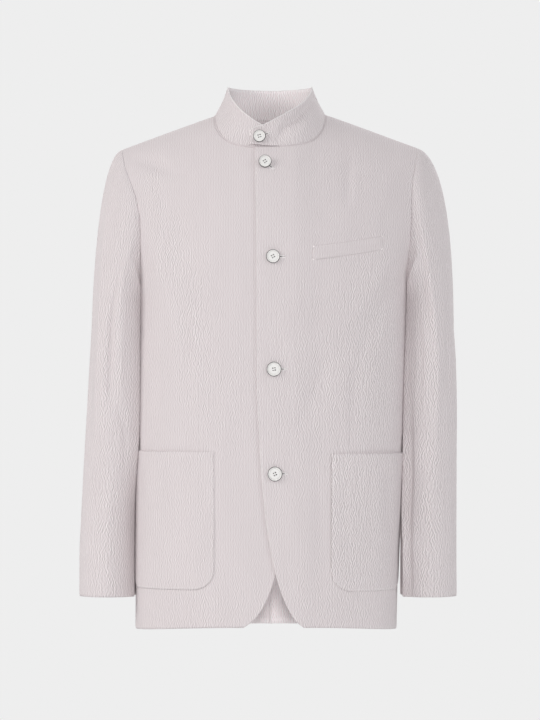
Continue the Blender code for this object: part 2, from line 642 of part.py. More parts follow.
def on_front(side, piece, share, z):
    """Points and normals of a front's facets, with its folds and lap."""
    share, z = np.broadcast_arrays(share, z)
    low = np.clip(np.floor(share * PANEL_COLUMNS), 0, PANEL_COLUMNS - 1)
    part = (share * PANEL_COLUMNS - low)[..., None]
    edge, outer = front_ends(side, z)
    step = SMALL_STEP
    ends = []
    for line in (low, low + 1):
        x = edge + (outer - edge) * (1 - (1 - line / PANEL_COLUMNS) ** COLUMN_CROWD)
        here = body_surface(side, FRONT, x, z)
        inward = np.minimum(x, outer - 2 * step)
        in_x = body_surface(side, FRONT, inward + step, z) - body_surface(side, FRONT, inward - step, z)
        in_z = body_surface(side, FRONT, inward, z + step) - body_surface(side, FRONT, inward, z - step)
        normal = unit(np.cross(in_x, in_z)) * side
        rise = fold_rise(piece, here)
        if piece == "front_left":
            rise = rise + lap_rise(here[..., 0])
        ends.append((here + normal * rise[..., None], normal))
    points = ends[0][0] * (1 - part) + ends[1][0] * part
    return points, unit(ends[0][1] * (1 - part) + ends[1][1] * part)


for pocket in POCKETS:
    mid = np.array((pocket.top + pocket.bottom) / 2)
    first = float(share_at(pocket.side, pocket.inner_x, mid))
    last = pocket.outer_share
    rough = np.linspace(first, last, 200)
    flat, _ = on_front(pocket.side, pocket.front, rough, np.full(200, mid))
    along = np.concatenate([[0], np.cumsum(np.linalg.norm(np.diff(flat, axis=0), axis=1))])
    bend = pocket.corner * (1 - np.cos(np.linspace(0, math.pi / 2, POCKET_CORNER_COLUMNS + 1)[1:]))
    extra = np.interp(np.concatenate([bend, along[-1] - bend]), along, rough)
    share = own_columns(first, last, extra)
    near = np.interp(share, rough, along)
    near = np.minimum(near, along[-1] - near)
    cut = np.clip(1 - near / pocket.corner, 0, 1)
    floor = pocket.bottom + pocket.corner * (1 - np.sqrt(1 - cut**2))
    up = np.linspace(0, 1, POCKET_ROWS + 1)[:, None]
    z = floor + (pocket.top - floor) * up
    slide = share_at(pocket.side, pocket.inner_x, z) - first
    held = share + slide * (1 - smooth(first, first + POCKET_SLIDE, share))
    points, normals = on_front(pocket.side, pocket.front, held, z)
    gape = pocket.gape * smooth(GAPE_START, 1.0, up) * np.sin(math.pi * (share - first) / (last - first))
    wall(pocket.node, points, normals, PATCH_WALL, PATCH_LIFT + gape)

first, last = (float(share_at(LEFT, *map(np.array, end))) for end in (WELT_INNER, WELT_OUTER))
share = own_columns(first, last)[None, :]
up = np.linspace(0, 1, WELT_ROWS + 1)[:, None]
x_part = (share - first) / (last - first)
z = WELT_INNER[1] + (WELT_OUTER[1] - WELT_INNER[1]) * x_part + WELT_HEIGHT * up
points, normals = on_front(LEFT, "front_left", share, z)
wall("breast_welt", points, normals, PATCH_WALL, PATCH_LIFT + WELT_EXTRA)


# Buttons


def button_place(row):
    """Centre and outward direction of a button on the face of the cloth under it."""
    if row.node == "button_1":
        skin = collar_points + collar_normals * (collar_rise[..., None] + COLLAR_WALL / 2)
        skin, normals = skin[:, left_lap], collar_normals[:, left_lap]
    else:
        normals = pairs[LEFT][0][1]
        skin = middles["front_left"] + normals * WALL / 2
    away = np.hypot(skin[..., 0] - row.x, skin[..., 2] - row.z)
    weight = np.exp(-((away / row.radius) ** 2))[..., None]
    normal = unit((normals * weight).sum(axis=(0, 1)))
    middle = (skin * weight).sum(axis=(0, 1)) / weight.sum()
    slope = normal[[0, 2]] / normal[1]
    y = middle[1] - (row.x - middle[0]) * slope[0] - (row.z - middle[2]) * slope[1]
    point = np.array([row.x, y, row.z])
    share = np.linspace(0, 1, 6)
    patch = np.concatenate([skin[:-1] * (1 - k) + skin[1:] * k for k in share])
    patch = np.concatenate([patch[:, :-1] * (1 - k) + patch[:, 1:] * k for k in share], axis=1)
    under = np.hypot(patch[..., 0] - row.x, patch[..., 2] - row.z) < row.radius * 1.1
    highest = ((patch - point) @ normal)[under].max()
    return point + normal * (highest + BUTTON_BACK_GAP), normal


def turned(bm, profile, sides):
    """A solid turned about Z from a profile of radius and height that starts and ends on it."""
    rings = []
    for radius, height in profile:
        if radius == 0:
            rings.append([bm.verts.new((0, 0, height))] * sides)
            continue
        angles = [2 * math.pi * k / sides for k in range(sides)]
        rings.append([bm.verts.new((radius * math.cos(a), radius * math.sin(a), height)) for a in angles])
    for low, high in zip(rings, rings[1:]):
        for k in range(sides):
            n = (k + 1) % sides
            corners = [low[k], low[n], high[n], high[k]]
            bm.faces.new(list(dict.fromkeys(corners)))


def button(row):
    point, normal = button_place(row)
    r, rim = row.radius, BUTTON_RIM_WIDTH
    profile = (
        (0.0, 0.0),
        (r * 0.86, 0.0),
        (r, BUTTON_EDGE * 0.6),
        (r, BUTTON_EDGE),
        (r - rim * 0.45, BUTTON_RIM),
        (r - rim, BUTTON_RIM),
        (r - rim * 1.7, BUTTON_DISH),
        (0.0, BUTTON_DISH),
    )
    made = make_object(row.node, lambda bm: turned(bm, profile, BUTTON_SIDES), material(row.node, BUTTON_COLOR, 0.35))

    def drills(bm):
        for k in range(HOLE_COUNT):
            a = math.pi / 4 + 2 * math.pi * k / HOLE_COUNT
            place = Matrix.Translation((HOLE_CIRCLE * math.cos(a), HOLE_CIRCLE * math.sin(a), BUTTON_RIM / 2))
            bmesh.ops.create_cone(
                bm,
                cap_ends=True,
                segments=HOLE_SIDES,
                radius1=HOLE_RADIUS,
                radius2=HOLE_RADIUS,
                depth=BUTTON_RIM * 2,
                matrix=place,
            )

    drill = make_object(row.node + "_drill", drills, made.data.materials[0])
    drill.hide_render = True
    drill.display_type = "WIRE"
    cut = made.modifiers.new("holes", "BOOLEAN")
    cut.operation = "DIFFERENCE"
    cut.solver = "EXACT"
    cut.object = drill
    place = Vector(point)
    matrix = Matrix.Translation(place) @ Vector(normal).to_track_quat("Z", "Y").to_matrix().to_4x4()
    made.matrix_world = matrix
    drill.matrix_world = matrix


for row in BUTTONS:
    button(row)
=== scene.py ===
"""Looks of a suit jacket with a stand collar, hollow and filled out as it is on a wearer.

Metres, +Z up, front towards -Y and +X towards the wearer's left, as in the solids. Every cloth piece
is a thin shell on the form of its solid, drawn finer, with its own creases, puckers, seams and stripes.
"""
import math
from collections import namedtuple
from functools import partial

import bmesh
import bpy
import numpy as np
from mathutils import Matrix, Vector


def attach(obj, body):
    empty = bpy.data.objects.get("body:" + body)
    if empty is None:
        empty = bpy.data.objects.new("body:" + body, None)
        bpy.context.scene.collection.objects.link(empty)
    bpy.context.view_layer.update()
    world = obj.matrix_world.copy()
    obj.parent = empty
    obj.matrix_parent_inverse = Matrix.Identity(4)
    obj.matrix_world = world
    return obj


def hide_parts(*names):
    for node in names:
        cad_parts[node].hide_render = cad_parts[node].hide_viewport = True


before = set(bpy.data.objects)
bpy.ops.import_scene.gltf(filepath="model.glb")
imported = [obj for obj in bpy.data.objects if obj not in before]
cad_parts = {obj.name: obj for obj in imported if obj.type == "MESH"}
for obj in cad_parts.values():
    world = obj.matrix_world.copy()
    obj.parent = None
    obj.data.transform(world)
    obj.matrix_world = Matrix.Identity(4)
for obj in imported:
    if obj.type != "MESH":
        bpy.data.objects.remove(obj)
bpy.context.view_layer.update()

RIGHT, LEFT = -1, 1
FRONT, BACK = -1, 1
SIDES = ((RIGHT, "right"), (LEFT, "left"))

# Photograph: its size in pixels, the scale on the jacket's middle plane and the level of the origin
IMAGE_HEIGHT, PIXEL_SIZE, ORIGIN_ROW = 720, 0.001447, 117
CAMERA_AWAY, SENSOR, FARTHEST = 6.0, 36.0, 60.0

# Cloth walls, as in the solids
WALL, COLLAR_WALL, PATCH_WALL, SEAM_GAP = 0.0015, 0.0022, 0.0012, 0.0003
# Room for the wall where a sleeve leaves the armhole at an angle: extra share, and the most
CREASE_SPARE, CREASE_MOST = 0.55, 1.40
# How far the left front stands out to pass over the right one, and between which places
LAP_LIFT, LAP_START, LAP_FULL = 0.0034, 0.075, 0.032

# Levels down the body
UNDERARM_Z = -0.272
HEM_SIDE_Z, HEM_FRONT_Z, HEM_BACK_Z = -0.738, -0.731, -0.740
YOKE_FRONT_Z, YOKE_BACK_Z = -0.112, -0.078
NECK_FRONT_Z, NECK_BACK_Z = -0.0480, -0.0040

# Shoulder line seen from the front, and how the cloth falls away before and behind it
SHOULDER_PEAK, SHOULDER_SLOPE, SHOULDER_ROUND = 0.0338, 0.380, 0.040
RIGHT_SHOULDER_LIFT, LEFT_SHOULDER_LIFT = 0.0012, 0.0032
SHOULDER_TIP_X, NECK_SIDE_X = 0.214, 0.0795
FRONT_FALL, FRONT_FALL_ROUND = 0.220, 1.70
BACK_FALL, BACK_FALL_ROUND = 0.190, 1.90
# Squareness of a body section, and how late a panel's rows rise on their way from the centre
BODY_SQUARE = 2.40
SWEEP_HEM, SWEEP_YOKE, SWEEP_FRONT_NECK, SWEEP_BACK_NECK = 2.0, 1.6, 3.0, 2.1

# Body sections: half widths to each side of the centre line, the widest place and the depths
Section = namedtuple("Section", "z right_half left_half side_y front_depth back_depth")
SECTIONS = (
    Section(-0.745, 0.1935, 0.1818, -0.010, 0.120, 0.126),
    Section(-0.660, 0.1930, 0.1836, -0.010, 0.120, 0.123),
    Section(-0.560, 0.1926, 0.1876, -0.010, 0.119, 0.117),
    Section(-0.450, 0.1924, 0.1930, -0.008, 0.117, 0.110),
    Section(-0.350, 0.1922, 0.1965, -0.005, 0.119, 0.114),
    Section(-0.272, 0.1915, 0.1990, 0.000, 0.122, 0.121),
    Section(-0.240, 0.1945, 0.2040, 0.002, 0.123, 0.124),
    Section(-0.200, 0.2020, 0.2150, 0.004, 0.123, 0.127),
    Section(-0.152, 0.2140, 0.2280, 0.006, 0.123, 0.128),
    Section(-0.097, 0.2350, 0.2450, 0.008, 0.122, 0.129),
    Section(-0.049, 0.2620, 0.2620, 0.010, 0.122, 0.129),
    Section(0.030, 0.2620, 0.2620, 0.010, 0.122, 0.129),
)

# Armhole seam as it runs from the shoulder tip to the underarm, seen from the front
Armhole = namedtuple("Armhole", "z right_x left_x")
ARMHOLES = (
    Armhole(-0.2720, 0.1915, 0.1990),
    Armhole(-0.2600, 0.1892, 0.1976),
    Armhole(-0.2350, 0.1862, 0.1970),
    Armhole(-0.2050, 0.1850, 0.1984),
    Armhole(-0.1780, 0.1848, 0.2006),
    Armhole(-0.1520, 0.1856, 0.2020),
    Armhole(-0.1250, 0.1902, 0.2030),
    Armhole(-0.0970, 0.1996, 0.2044),
    Armhole(-0.0720, 0.2088, 0.2090),
    Armhole(-0.0440, 0.2140, 0.2140),
)
BACK_ARMHOLE_EXTRA = 0.004
# Share of the way up the armhole from which it bends to end exactly on the shoulder tip
TIP_EASE = 0.8

# Front edges from the neck to the cutaway hem corner: where each front ends across the centre
Edge = namedtuple("Edge", "z left_front right_front")
FRONT_EDGES = (
    Edge(-0.7400, 0.0640, -0.0560),
    Edge(-0.7335, 0.0520, -0.0420),
    Edge(-0.7260, 0.0410, -0.0300),
    Edge(-0.7120, 0.0300, -0.0160),
    Edge(-0.6880, 0.0185, -0.0030),
    Edge(-0.6520, 0.0070, 0.0090),
    Edge(-0.6060, -0.0020, 0.0165),
    Edge(-0.5560, -0.0080, 0.0215),
    Edge(-0.5080, -0.0120, 0.0240),
    Edge(-0.4500, -0.0150, 0.0250),
    Edge(-0.3650, -0.0180, 0.0240),
    Edge(-0.1820, -0.0185, 0.0220),
    Edge(-0.0480, -0.0210, 0.0200),
)

# Sleeve sections below the cap: outer and inner edges, middle and half depth
Sleeve = namedtuple("Sleeve", "z right_outer right_inner left_outer left_inner middle_y half_depth")
SLEEVES = (
    Sleeve(-0.310, 0.2580, 0.1862, 0.2655, 0.1945, 0.006, 0.072),
    Sleeve(-0.360, 0.2608, 0.1860, 0.2686, 0.1935, 0.006, 0.071),
    Sleeve(-0.430, 0.2645, 0.1858, 0.2698, 0.1915, 0.004, 0.068),
    Sleeve(-0.500, 0.2685, 0.1868, 0.2692, 0.1900, 0.002, 0.063),
    Sleeve(-0.570, 0.2720, 0.1885, 0.2690, 0.1885, 0.000, 0.058),
    Sleeve(-0.640, 0.2748, 0.1905, 0.2688, 0.1870, -0.002, 0.054),
    Sleeve(-0.692, 0.2748, 0.1930, 0.2692, 0.1868, -0.004, 0.052),
)
SLEEVE_ROUND, SLEEVE_BACK_SQUARE = 2.0, 3.0
SLEEVE_CLEAR, SLEEVE_POCKET_CLEAR, SLEEVE_EASE = 0.0018, 0.0020, 0.0010
SLEEVE_POCKET_START, SLEEVE_POCKET_FULL = -0.450, -0.475
FRONT_SEAM_SHARE, BACK_SEAM_SHARE = 10 / 12, 8 / 12
# Low down the left sleeve hangs clear of the body, so that light shows between them
CLEAR_START, CLEAR_FULL, CLEAR_WIDTH = -0.560, -0.625, {RIGHT: 0.0, LEFT: 0.0062}
# Higher up a sleeve's soft front lies on the body: where that line runs seen from the front, its angle
# round the arm, and how late the front bends back to it
Tuck = namedtuple("Tuck", "z right_x left_x angle right_bend left_bend")
TUCKS = (
    Tuck(-0.215, 0.1856, 0.1965, math.radians(124), 2.2, 1.8),
    Tuck(-0.240, 0.1860, 0.1970, math.radians(134), 2.2, 1.8),
    Tuck(-0.258, 0.1864, 0.1974, math.radians(142), 2.2, 1.8),
    Tuck(-0.280, 0.1866, 0.1966, math.radians(146), 2.2, 1.8),
    Tuck(-0.330, 0.1868, 0.1946, math.radians(146), 2.2, 1.8),
    Tuck(-0.430, 0.1872, 0.1914, math.radians(146), 2.4, 2.2),
    Tuck(-0.480, 0.1892, 0.1906, math.radians(146), 2.4, 2.0),
    Tuck(-0.520, 0.1925, 0.1900, math.radians(146), 2.4, 2.0),
    Tuck(-0.570, 0.1950, 0.1888, math.radians(146), 2.4, 2.0),
    Tuck(-0.620, 0.1955, 0.1902, math.radians(146), 2.4, 2.0),
    Tuck(-0.692, 0.1955, 0.1908, math.radians(146), 2.4, 2.0),
)
# How soon below its seam the cap lies so, and between which angles: from none to all, and back to none
CAP_FOLD, CAP_FOLD_FROM, CAP_FOLD_TO = 0.16, (1.60, 2.05), (3.12, 2.85)

# How the cap leaves the armhole: direction out, towards the back, up, and its pull
CapPull = namedtuple("CapPull", "out back up right_reach left_reach landing")
CAP_PULLS = {
    "top": CapPull(0.94, 0.00, -0.36, 0.118, 0.175, 0.060),
    "front": CapPull(0.80, -0.35, -0.48, 0.080, 0.080, 0.140),
    "under": CapPull(0.97, 0.08, -0.20, 0.008, 0.008, 0.030),
    "back": CapPull(0.80, 0.35, -0.48, 0.080, 0.080, 0.140),
}

# Creases and folds: height outwards, a width on each side and a path seen from the front
Crease = namedtuple("Crease", "piece rise inner outer path")
# Share of the half wave along a fold or crease that is cut off at its ends, and how sharply it fades
FOLD_END, FOLD_POWER, CREASE_END, CREASE_POWER = 0.12, 1.0, 0.08, 0.8
# Large soft folds of the solids
FOLDS = (
    Crease("front_right", 0.0030, 0.016, 0.016, ((-0.182, -0.140), (-0.128, -0.330))),
    Crease("front_right", -0.0022, 0.022, 0.022, ((-0.150, -0.150), (-0.095, -0.420))),
    Crease("front_left", -0.0034, 0.018, 0.018, ((0.190, -0.235), (0.112, -0.330))),
    Crease("front_left", 0.0022, 0.018, 0.018, ((0.175, -0.140), (0.150, -0.300))),
    Crease("front_left", -0.0018, 0.024, 0.024, ((0.085, -0.330), (0.040, -0.450))),
    Crease("back_left", -0.0036, 0.024, 0.024, ((0.168, -0.160), (0.120, -0.430))),
    Crease("back_right", -0.0036, 0.024, 0.024, ((-0.168, -0.160), (-0.120, -0.430))),
)
# Sleeve folds: an angle round the arm and a height at each end; they go on past both by a share
ArmFold = namedtuple("ArmFold", "side angle0 z0 angle1 z1 rise width")
ARM_FOLDS = (
    ArmFold(RIGHT, 1.05, -0.150, 1.30, -0.420, -0.0038, 0.26),
    ArmFold(RIGHT, 0.30, -0.330, 0.75, -0.470, -0.0022, 0.22),
    ArmFold(LEFT, 1.95, -0.200, 1.60, -0.330, -0.0034, 0.26),
    ArmFold(LEFT, 0.85, -0.300, 1.15, -0.480, -0.0022, 0.24),
    ArmFold(RIGHT, -1.20, -0.170, -1.45, -0.430, -0.0036, 0.26),
    ArmFold(LEFT, -1.20, -0.170, -1.45, -0.430, -0.0036, 0.26),
)
ARM_FOLD_PAST = 0.25
# Shares of the cap's rows over which folds and creases grow
FOLD_EASE, CREASE_EASE = 0.6, 0.35

# Collar band: top edge ring, lap ends and the free lower edge of its tab
COLLAR_TOP_HALF, COLLAR_TOP_FRONT, COLLAR_TOP_BACK = 0.0600, 0.0660, 0.0500
COLLAR_TOP_SIDE_Y = 0.004
COLLAR_TOP_SIDE_Z, COLLAR_TOP_FRONT_Z, COLLAR_TOP_BACK_Z = 0.0430, -0.0158, 0.0405
COLLAR_OVER_END_X, COLLAR_SKEW, COLLAR_LAP_SLOPE = -0.0290, 0.0090, 0.45
TAB_FREE_X, TAB_SLIT = 0.0130, 0.0022
TAB_CORNER, TAB_DROP = 0.0120, 0.0060
COLLAR_LAP_LIFT, COLLAR_HOLLOW = 0.0040, 0.0016
COLLAR_ROUND, TAB_UPRIGHT, TAB_LIFT = 0.90, 0.75, 0.0026
# Where the band stops being sewn: on the tab over a distance each way, and under it between two places
SEWN_EASE, RIGHT_SEWN = 0.006, (0.004, -0.008)

# Pockets: top and bottom seen from the front, inner edge and how near the side seam they reach
Pocket = namedtuple("Pocket", "node side front top bottom inner_x outer_share corner gape corner_gape")
POCKETS = (
    Pocket("pocket_right", RIGHT, "front_right", -0.4815, -0.6785, 0.0790, 0.975, 0.030, 0.0012, 0.0004),
    Pocket("pocket_left", LEFT, "front_left", -0.4845, -0.6810, 0.0865, 0.975, 0.030, 0.0026, 0.0022),
)
WELT_INNER, WELT_OUTER = (0.0600, -0.2100), (0.1590, -0.1945)
WELT_HEIGHT = 0.0200
PATCH_LIFT = WALL / 2 + SEAM_GAP + PATCH_WALL / 2
# Share across in which a pocket's columns slide, places measured across it, and how even its columns are
POCKET_SLIDE, POCKET_PROBES, POCKET_EVEN = 0.25, 200, 0.6
# Where a pocket gapes: from a share of its height, and shares up and out at the outer corner
GAPE_START, CORNER_GAPE_UP, CORNER_GAPE_OUT = 0.55, (0.86, 1.0), (0.80, 0.97)
# A front's puckers fade under a pocket, over these distances from its sides and from its bottom
HIDE_EASE, HIDE_EASE_LOW = 0.004, 0.006
# Share of the gathers at a pocket's edge, and depth and width of the dips at edges and under stitches
POCKET_GATHERS = 0.2
POCKET_DIP, STITCH_DIP, WELT_DIP = (0.0011, 0.0015), (0.0003, 0.0009), (0.0009, 0.0026)
# Stitches of a pocket: distance from its edge, pitch and length, then bow, sink and thread
STITCH_INSET, STITCH_PITCH, STITCH_LENGTH = 0.0034, 0.0032, 0.0024
STITCH_BOW, STITCH_SINK, STITCH_END, STITCH_SWELL, STITCH_FLAT = 0.00022, 0.00012, 0.00010, 0.00014, 0.8
STITCH_POINTS, STITCH_SIDES = 5, 6
# The stitch row is looked for from the edge towards the middle: its place, the share of the way, and steps
PATCH_MIDDLE, INWARD_REACH, INWARD_STEPS, LAST_CELL = (0.55, 0.5), 0.25, 60, 1.001

# Buttons: place seen from the front, radius, turn of the holes and the slant of the buttonhole
Button = namedtuple("Button", "node x z radius turn slant")
BUTTONS = (
    Button("button_1", -0.0148, -0.0315, 0.0090, 0.30, 0.35),
    Button("button_2", -0.0070, -0.0689, 0.0092, 0.62, -0.70),
    Button("button_3", 0.0043, -0.2045, 0.0098, 0.50, -0.04),
    Button("button_4", 0.0057, -0.3645, 0.0104, 0.15, 0.00),
    Button("button_5", 0.0071, -0.5130, 0.0104, 0.40, 0.02),
)
BUTTON_BACK_GAP, BUTTON_EDGE, BUTTON_RIM, BUTTON_DISH = 0.0003, 0.0014, 0.0027, 0.0019
BUTTON_RIM_WIDTH = 0.0020
HOLE_RADIUS, HOLE_CIRCLE, HOLE_COUNT = 0.0009, 0.0023, 4
# A band round the button's edge is painted dark: painted shadow round the button together with its darker
# rim; a button stands part of the way towards facing the front
BUTTON_SHADE_BAND, BUTTON_FACING = 0.0010, 0.60
# Share of its radius within which a button stands clear of the cloth
BUTTON_CLEAR = 1.05
# Underside of a button, in shares of its radius and of its edge's height, and slope and floor of its dish
BUTTON_UNDER = ((0.84, 0.0), (0.95, 0.25), (0.99, 0.6))
DISH_SLOPE, DISH_FLAT, DISH_DEEPER = 0.8, 0.45, 0.0001
BUTTON_SIDES, CROWN_STEPS, HOLE_SIDES, SHARP_ANGLE = 56, 10, 14, math.radians(50)
# Painted shade in the holes: dark discs at their bottoms, with level, thickness and share of the hole
HOLE_SHADE_LEVEL, HOLE_SHADE_THICK, HOLE_SHADE_SHARE = 0.0012, 0.0003, 0.96
# Sewing thread: a strand's radius, how far a pair bows apart, how deep it dives and how high it arches
STRAND_RADIUS, STRAND_BOW, STRAND_DIVE, STRAND_ARCH, STRAND_POINTS = 0.00018, 0.00022, 0.0011, 0.0014, 11
SHANK_RADIUS, SHANK_UP, SHANK_DOWN, SHANK_POINTS, SHANK_SIDES = 0.0014, 0.0002, 0.0004, 5, 12
# Buttonholes: how far one starts behind the button's centre, and how far slit and stitches pass its edge
BUTTONHOLE_BACK, SLIT_PAST, STITCHES_PAST, BUTTONHOLE_HALF = 0.0030, 0.0036, 0.0085, 0.0011
# Ring of stitches and slit: points, radius, lift off the cloth, flatness, twist of the thread, slit's start
RING_POINTS, RING_RADIUS, RING_LIFT, RING_FLAT, RING_TWIST = 220, 0.00062, 0.00010, 0.60, 0.00012
RING_STRAIGHT, SLIT_TAPER, SLIT_START = 3, 0.06, 0.0008
SLIT_POINTS, SLIT_RADIUS, SLIT_LIFT, SLIT_FLAT = 24, 0.00062, 0.00012, 0.35
# A skin is read at a place as a mean over this distance
SKIN_SPREAD = 0.0030

# Rolls of cloth in the collar's seam: radius on each front and inside at the back, and their lift
RIGHT_ROLL, LEFT_ROLL, BACK_ROLL, ROLL_LIFT, BACK_ROLL_LIFT = 0.00105, 0.00075, 0.0014, 0.0001, 0.0004
# Fine lines along edges: pale lines of painted highlight on the turned edges of the collar and of the left
# front with its ends, and a dark line of painted shadow along the left pocket
COLLAR_LINE, FRONT_LINE, POCKET_SHADOW_LINE = 0.00065, 0.00055, 0.00034
FRONT_LINE_TOP, FRONT_LINE_BOTTOM, FRONT_LINE_TAPER = -0.050, -0.600, 0.08
ROLL_SIDES, LINE_SIDES = 10, 8

# Fineness of the shells; a panel has rows below, beside and above the armhole
PANEL_ROWS, PANEL_COLUMNS = (150, 66, 36), {FRONT: 290, BACK: 180}
UNDERARM_ROW, TIP_ROW = PANEL_ROWS[0], PANEL_ROWS[0] + PANEL_ROWS[1]
COLUMN_CROWD, SHOULDER_CROWD = 1.8, 0.3
AROUND, CAP_ROWS, ARM_ROWS = 320, 70, 130
COLLAR_COLUMNS, TAB_COLUMNS, COLLAR_ROWS = 420, 14, 30
POCKET_COLUMNS, POCKET_GRID_ROWS = 120, 72
WELT_COLUMNS, WELT_ROWS = 74, 12
INNER_STEP = 3
SMALL_STEP = 0.0004

# Scene-only creases of the body, uneven as they fall
CREASES = (
    Crease("front_right", -0.0042, 0.012, 0.010, ((-0.196, -0.062), (-0.170, -0.069), (-0.138, -0.082))),
    Crease("front_right", 0.0014, 0.006, 0.011, (
        (-0.192, -0.091), (-0.166, -0.120), (-0.159, -0.142), (-0.152, -0.200), (-0.127, -0.236))),
    Crease("front_right", 0.0013, 0.009, 0.006, (
        (-0.150, -0.205), (-0.127, -0.240), (-0.109, -0.301), (-0.101, -0.452))),
    Crease("front_right", -0.0013, 0.007, 0.010, (
        (-0.187, -0.142), (-0.172, -0.207), (-0.145, -0.294), (-0.137, -0.410))),
    Crease("front_right", -0.0009, 0.010, 0.014, (
        (-0.136, -0.127), (-0.112, -0.207), (-0.086, -0.308), (-0.078, -0.438))),
    Crease("front_right", 0.0008, 0.012, 0.009, ((-0.064, -0.390), (-0.068, -0.511), (-0.056, -0.641))),
    Crease("front_right", -0.0011, 0.006, 0.008, ((-0.176, -0.300), (-0.160, -0.352), (-0.157, -0.470))),
    Crease("front_right", -0.0007, 0.008, 0.008, ((-0.117, -0.500), (-0.128, -0.585), (-0.121, -0.660))),
    Crease("front_right", 0.0006, 0.010, 0.007, ((-0.152, -0.492), (-0.147, -0.560), (-0.155, -0.700))),
    Crease("front_left", -0.0016, 0.007, 0.009, ((0.117, -0.056), (0.113, -0.090), (0.111, -0.130))),
    Crease("front_left", 0.0012, 0.006, 0.008, ((0.196, -0.180), (0.166, -0.214), (0.121, -0.300))),
    Crease("front_left", -0.0015, 0.008, 0.006, (
        (0.190, -0.236), (0.148, -0.288), (0.120, -0.366), (0.116, -0.470))),
    Crease("front_left", 0.0010, 0.007, 0.010, ((0.172, -0.290), (0.150, -0.340), (0.141, -0.440))),
    Crease("front_left", -0.0010, 0.012, 0.009, ((0.092, -0.330), (0.061, -0.395), (0.041, -0.456))),
    Crease("front_left", 0.0009, 0.009, 0.012, ((0.177, -0.084), (0.156, -0.142), (0.137, -0.225))),
    Crease("front_left", -0.0008, 0.007, 0.009, ((0.110, -0.500), (0.104, -0.570), (0.112, -0.655))),
    Crease("front_left", 0.0009, 0.008, 0.006, ((0.148, -0.490), (0.154, -0.560), (0.146, -0.690))),
    Crease("front_left", -0.0008, 0.006, 0.007, ((0.166, -0.500), (0.170, -0.590), (0.163, -0.680))),
    Crease("front_left", 0.0006, 0.014, 0.011, ((0.050, -0.470), (0.056, -0.560), (0.049, -0.690))),
    Crease("back_right", -0.0020, 0.009, 0.012, ((-0.190, -0.110), (-0.140, -0.190), (-0.070, -0.240))),
    Crease("back_right", 0.0015, 0.008, 0.010, ((-0.172, -0.150), (-0.138, -0.250), (-0.122, -0.400))),
    Crease("back_right", -0.0014, 0.009, 0.007, ((-0.100, -0.350), (-0.060, -0.395), (-0.015, -0.410))),
    Crease("back_right", 0.0011, 0.010, 0.012, ((-0.095, -0.440), (-0.088, -0.560), (-0.100, -0.715))),
    Crease("back_right", -0.0012, 0.012, 0.009, ((-0.045, -0.470), (-0.052, -0.600), (-0.047, -0.730))),
    Crease("back_left", -0.0018, 0.012, 0.009, ((0.192, -0.120), (0.146, -0.180), (0.090, -0.222))),
    Crease("back_left", 0.0013, 0.009, 0.008, ((0.178, -0.160), (0.146, -0.270), (0.130, -0.420))),
    Crease("back_left", -0.0012, 0.007, 0.010, ((0.118, -0.372), (0.070, -0.418), (0.020, -0.428))),
    Crease("back_left", 0.0010, 0.012, 0.010, ((0.088, -0.455), (0.096, -0.590), (0.089, -0.720))),
    Crease("back_left", -0.0011, 0.010, 0.013, ((0.040, -0.500), (0.045, -0.610), (0.038, -0.735))),
)
# A metre along the arm counts as so many radians round it
ARM_STRETCH = 4.0
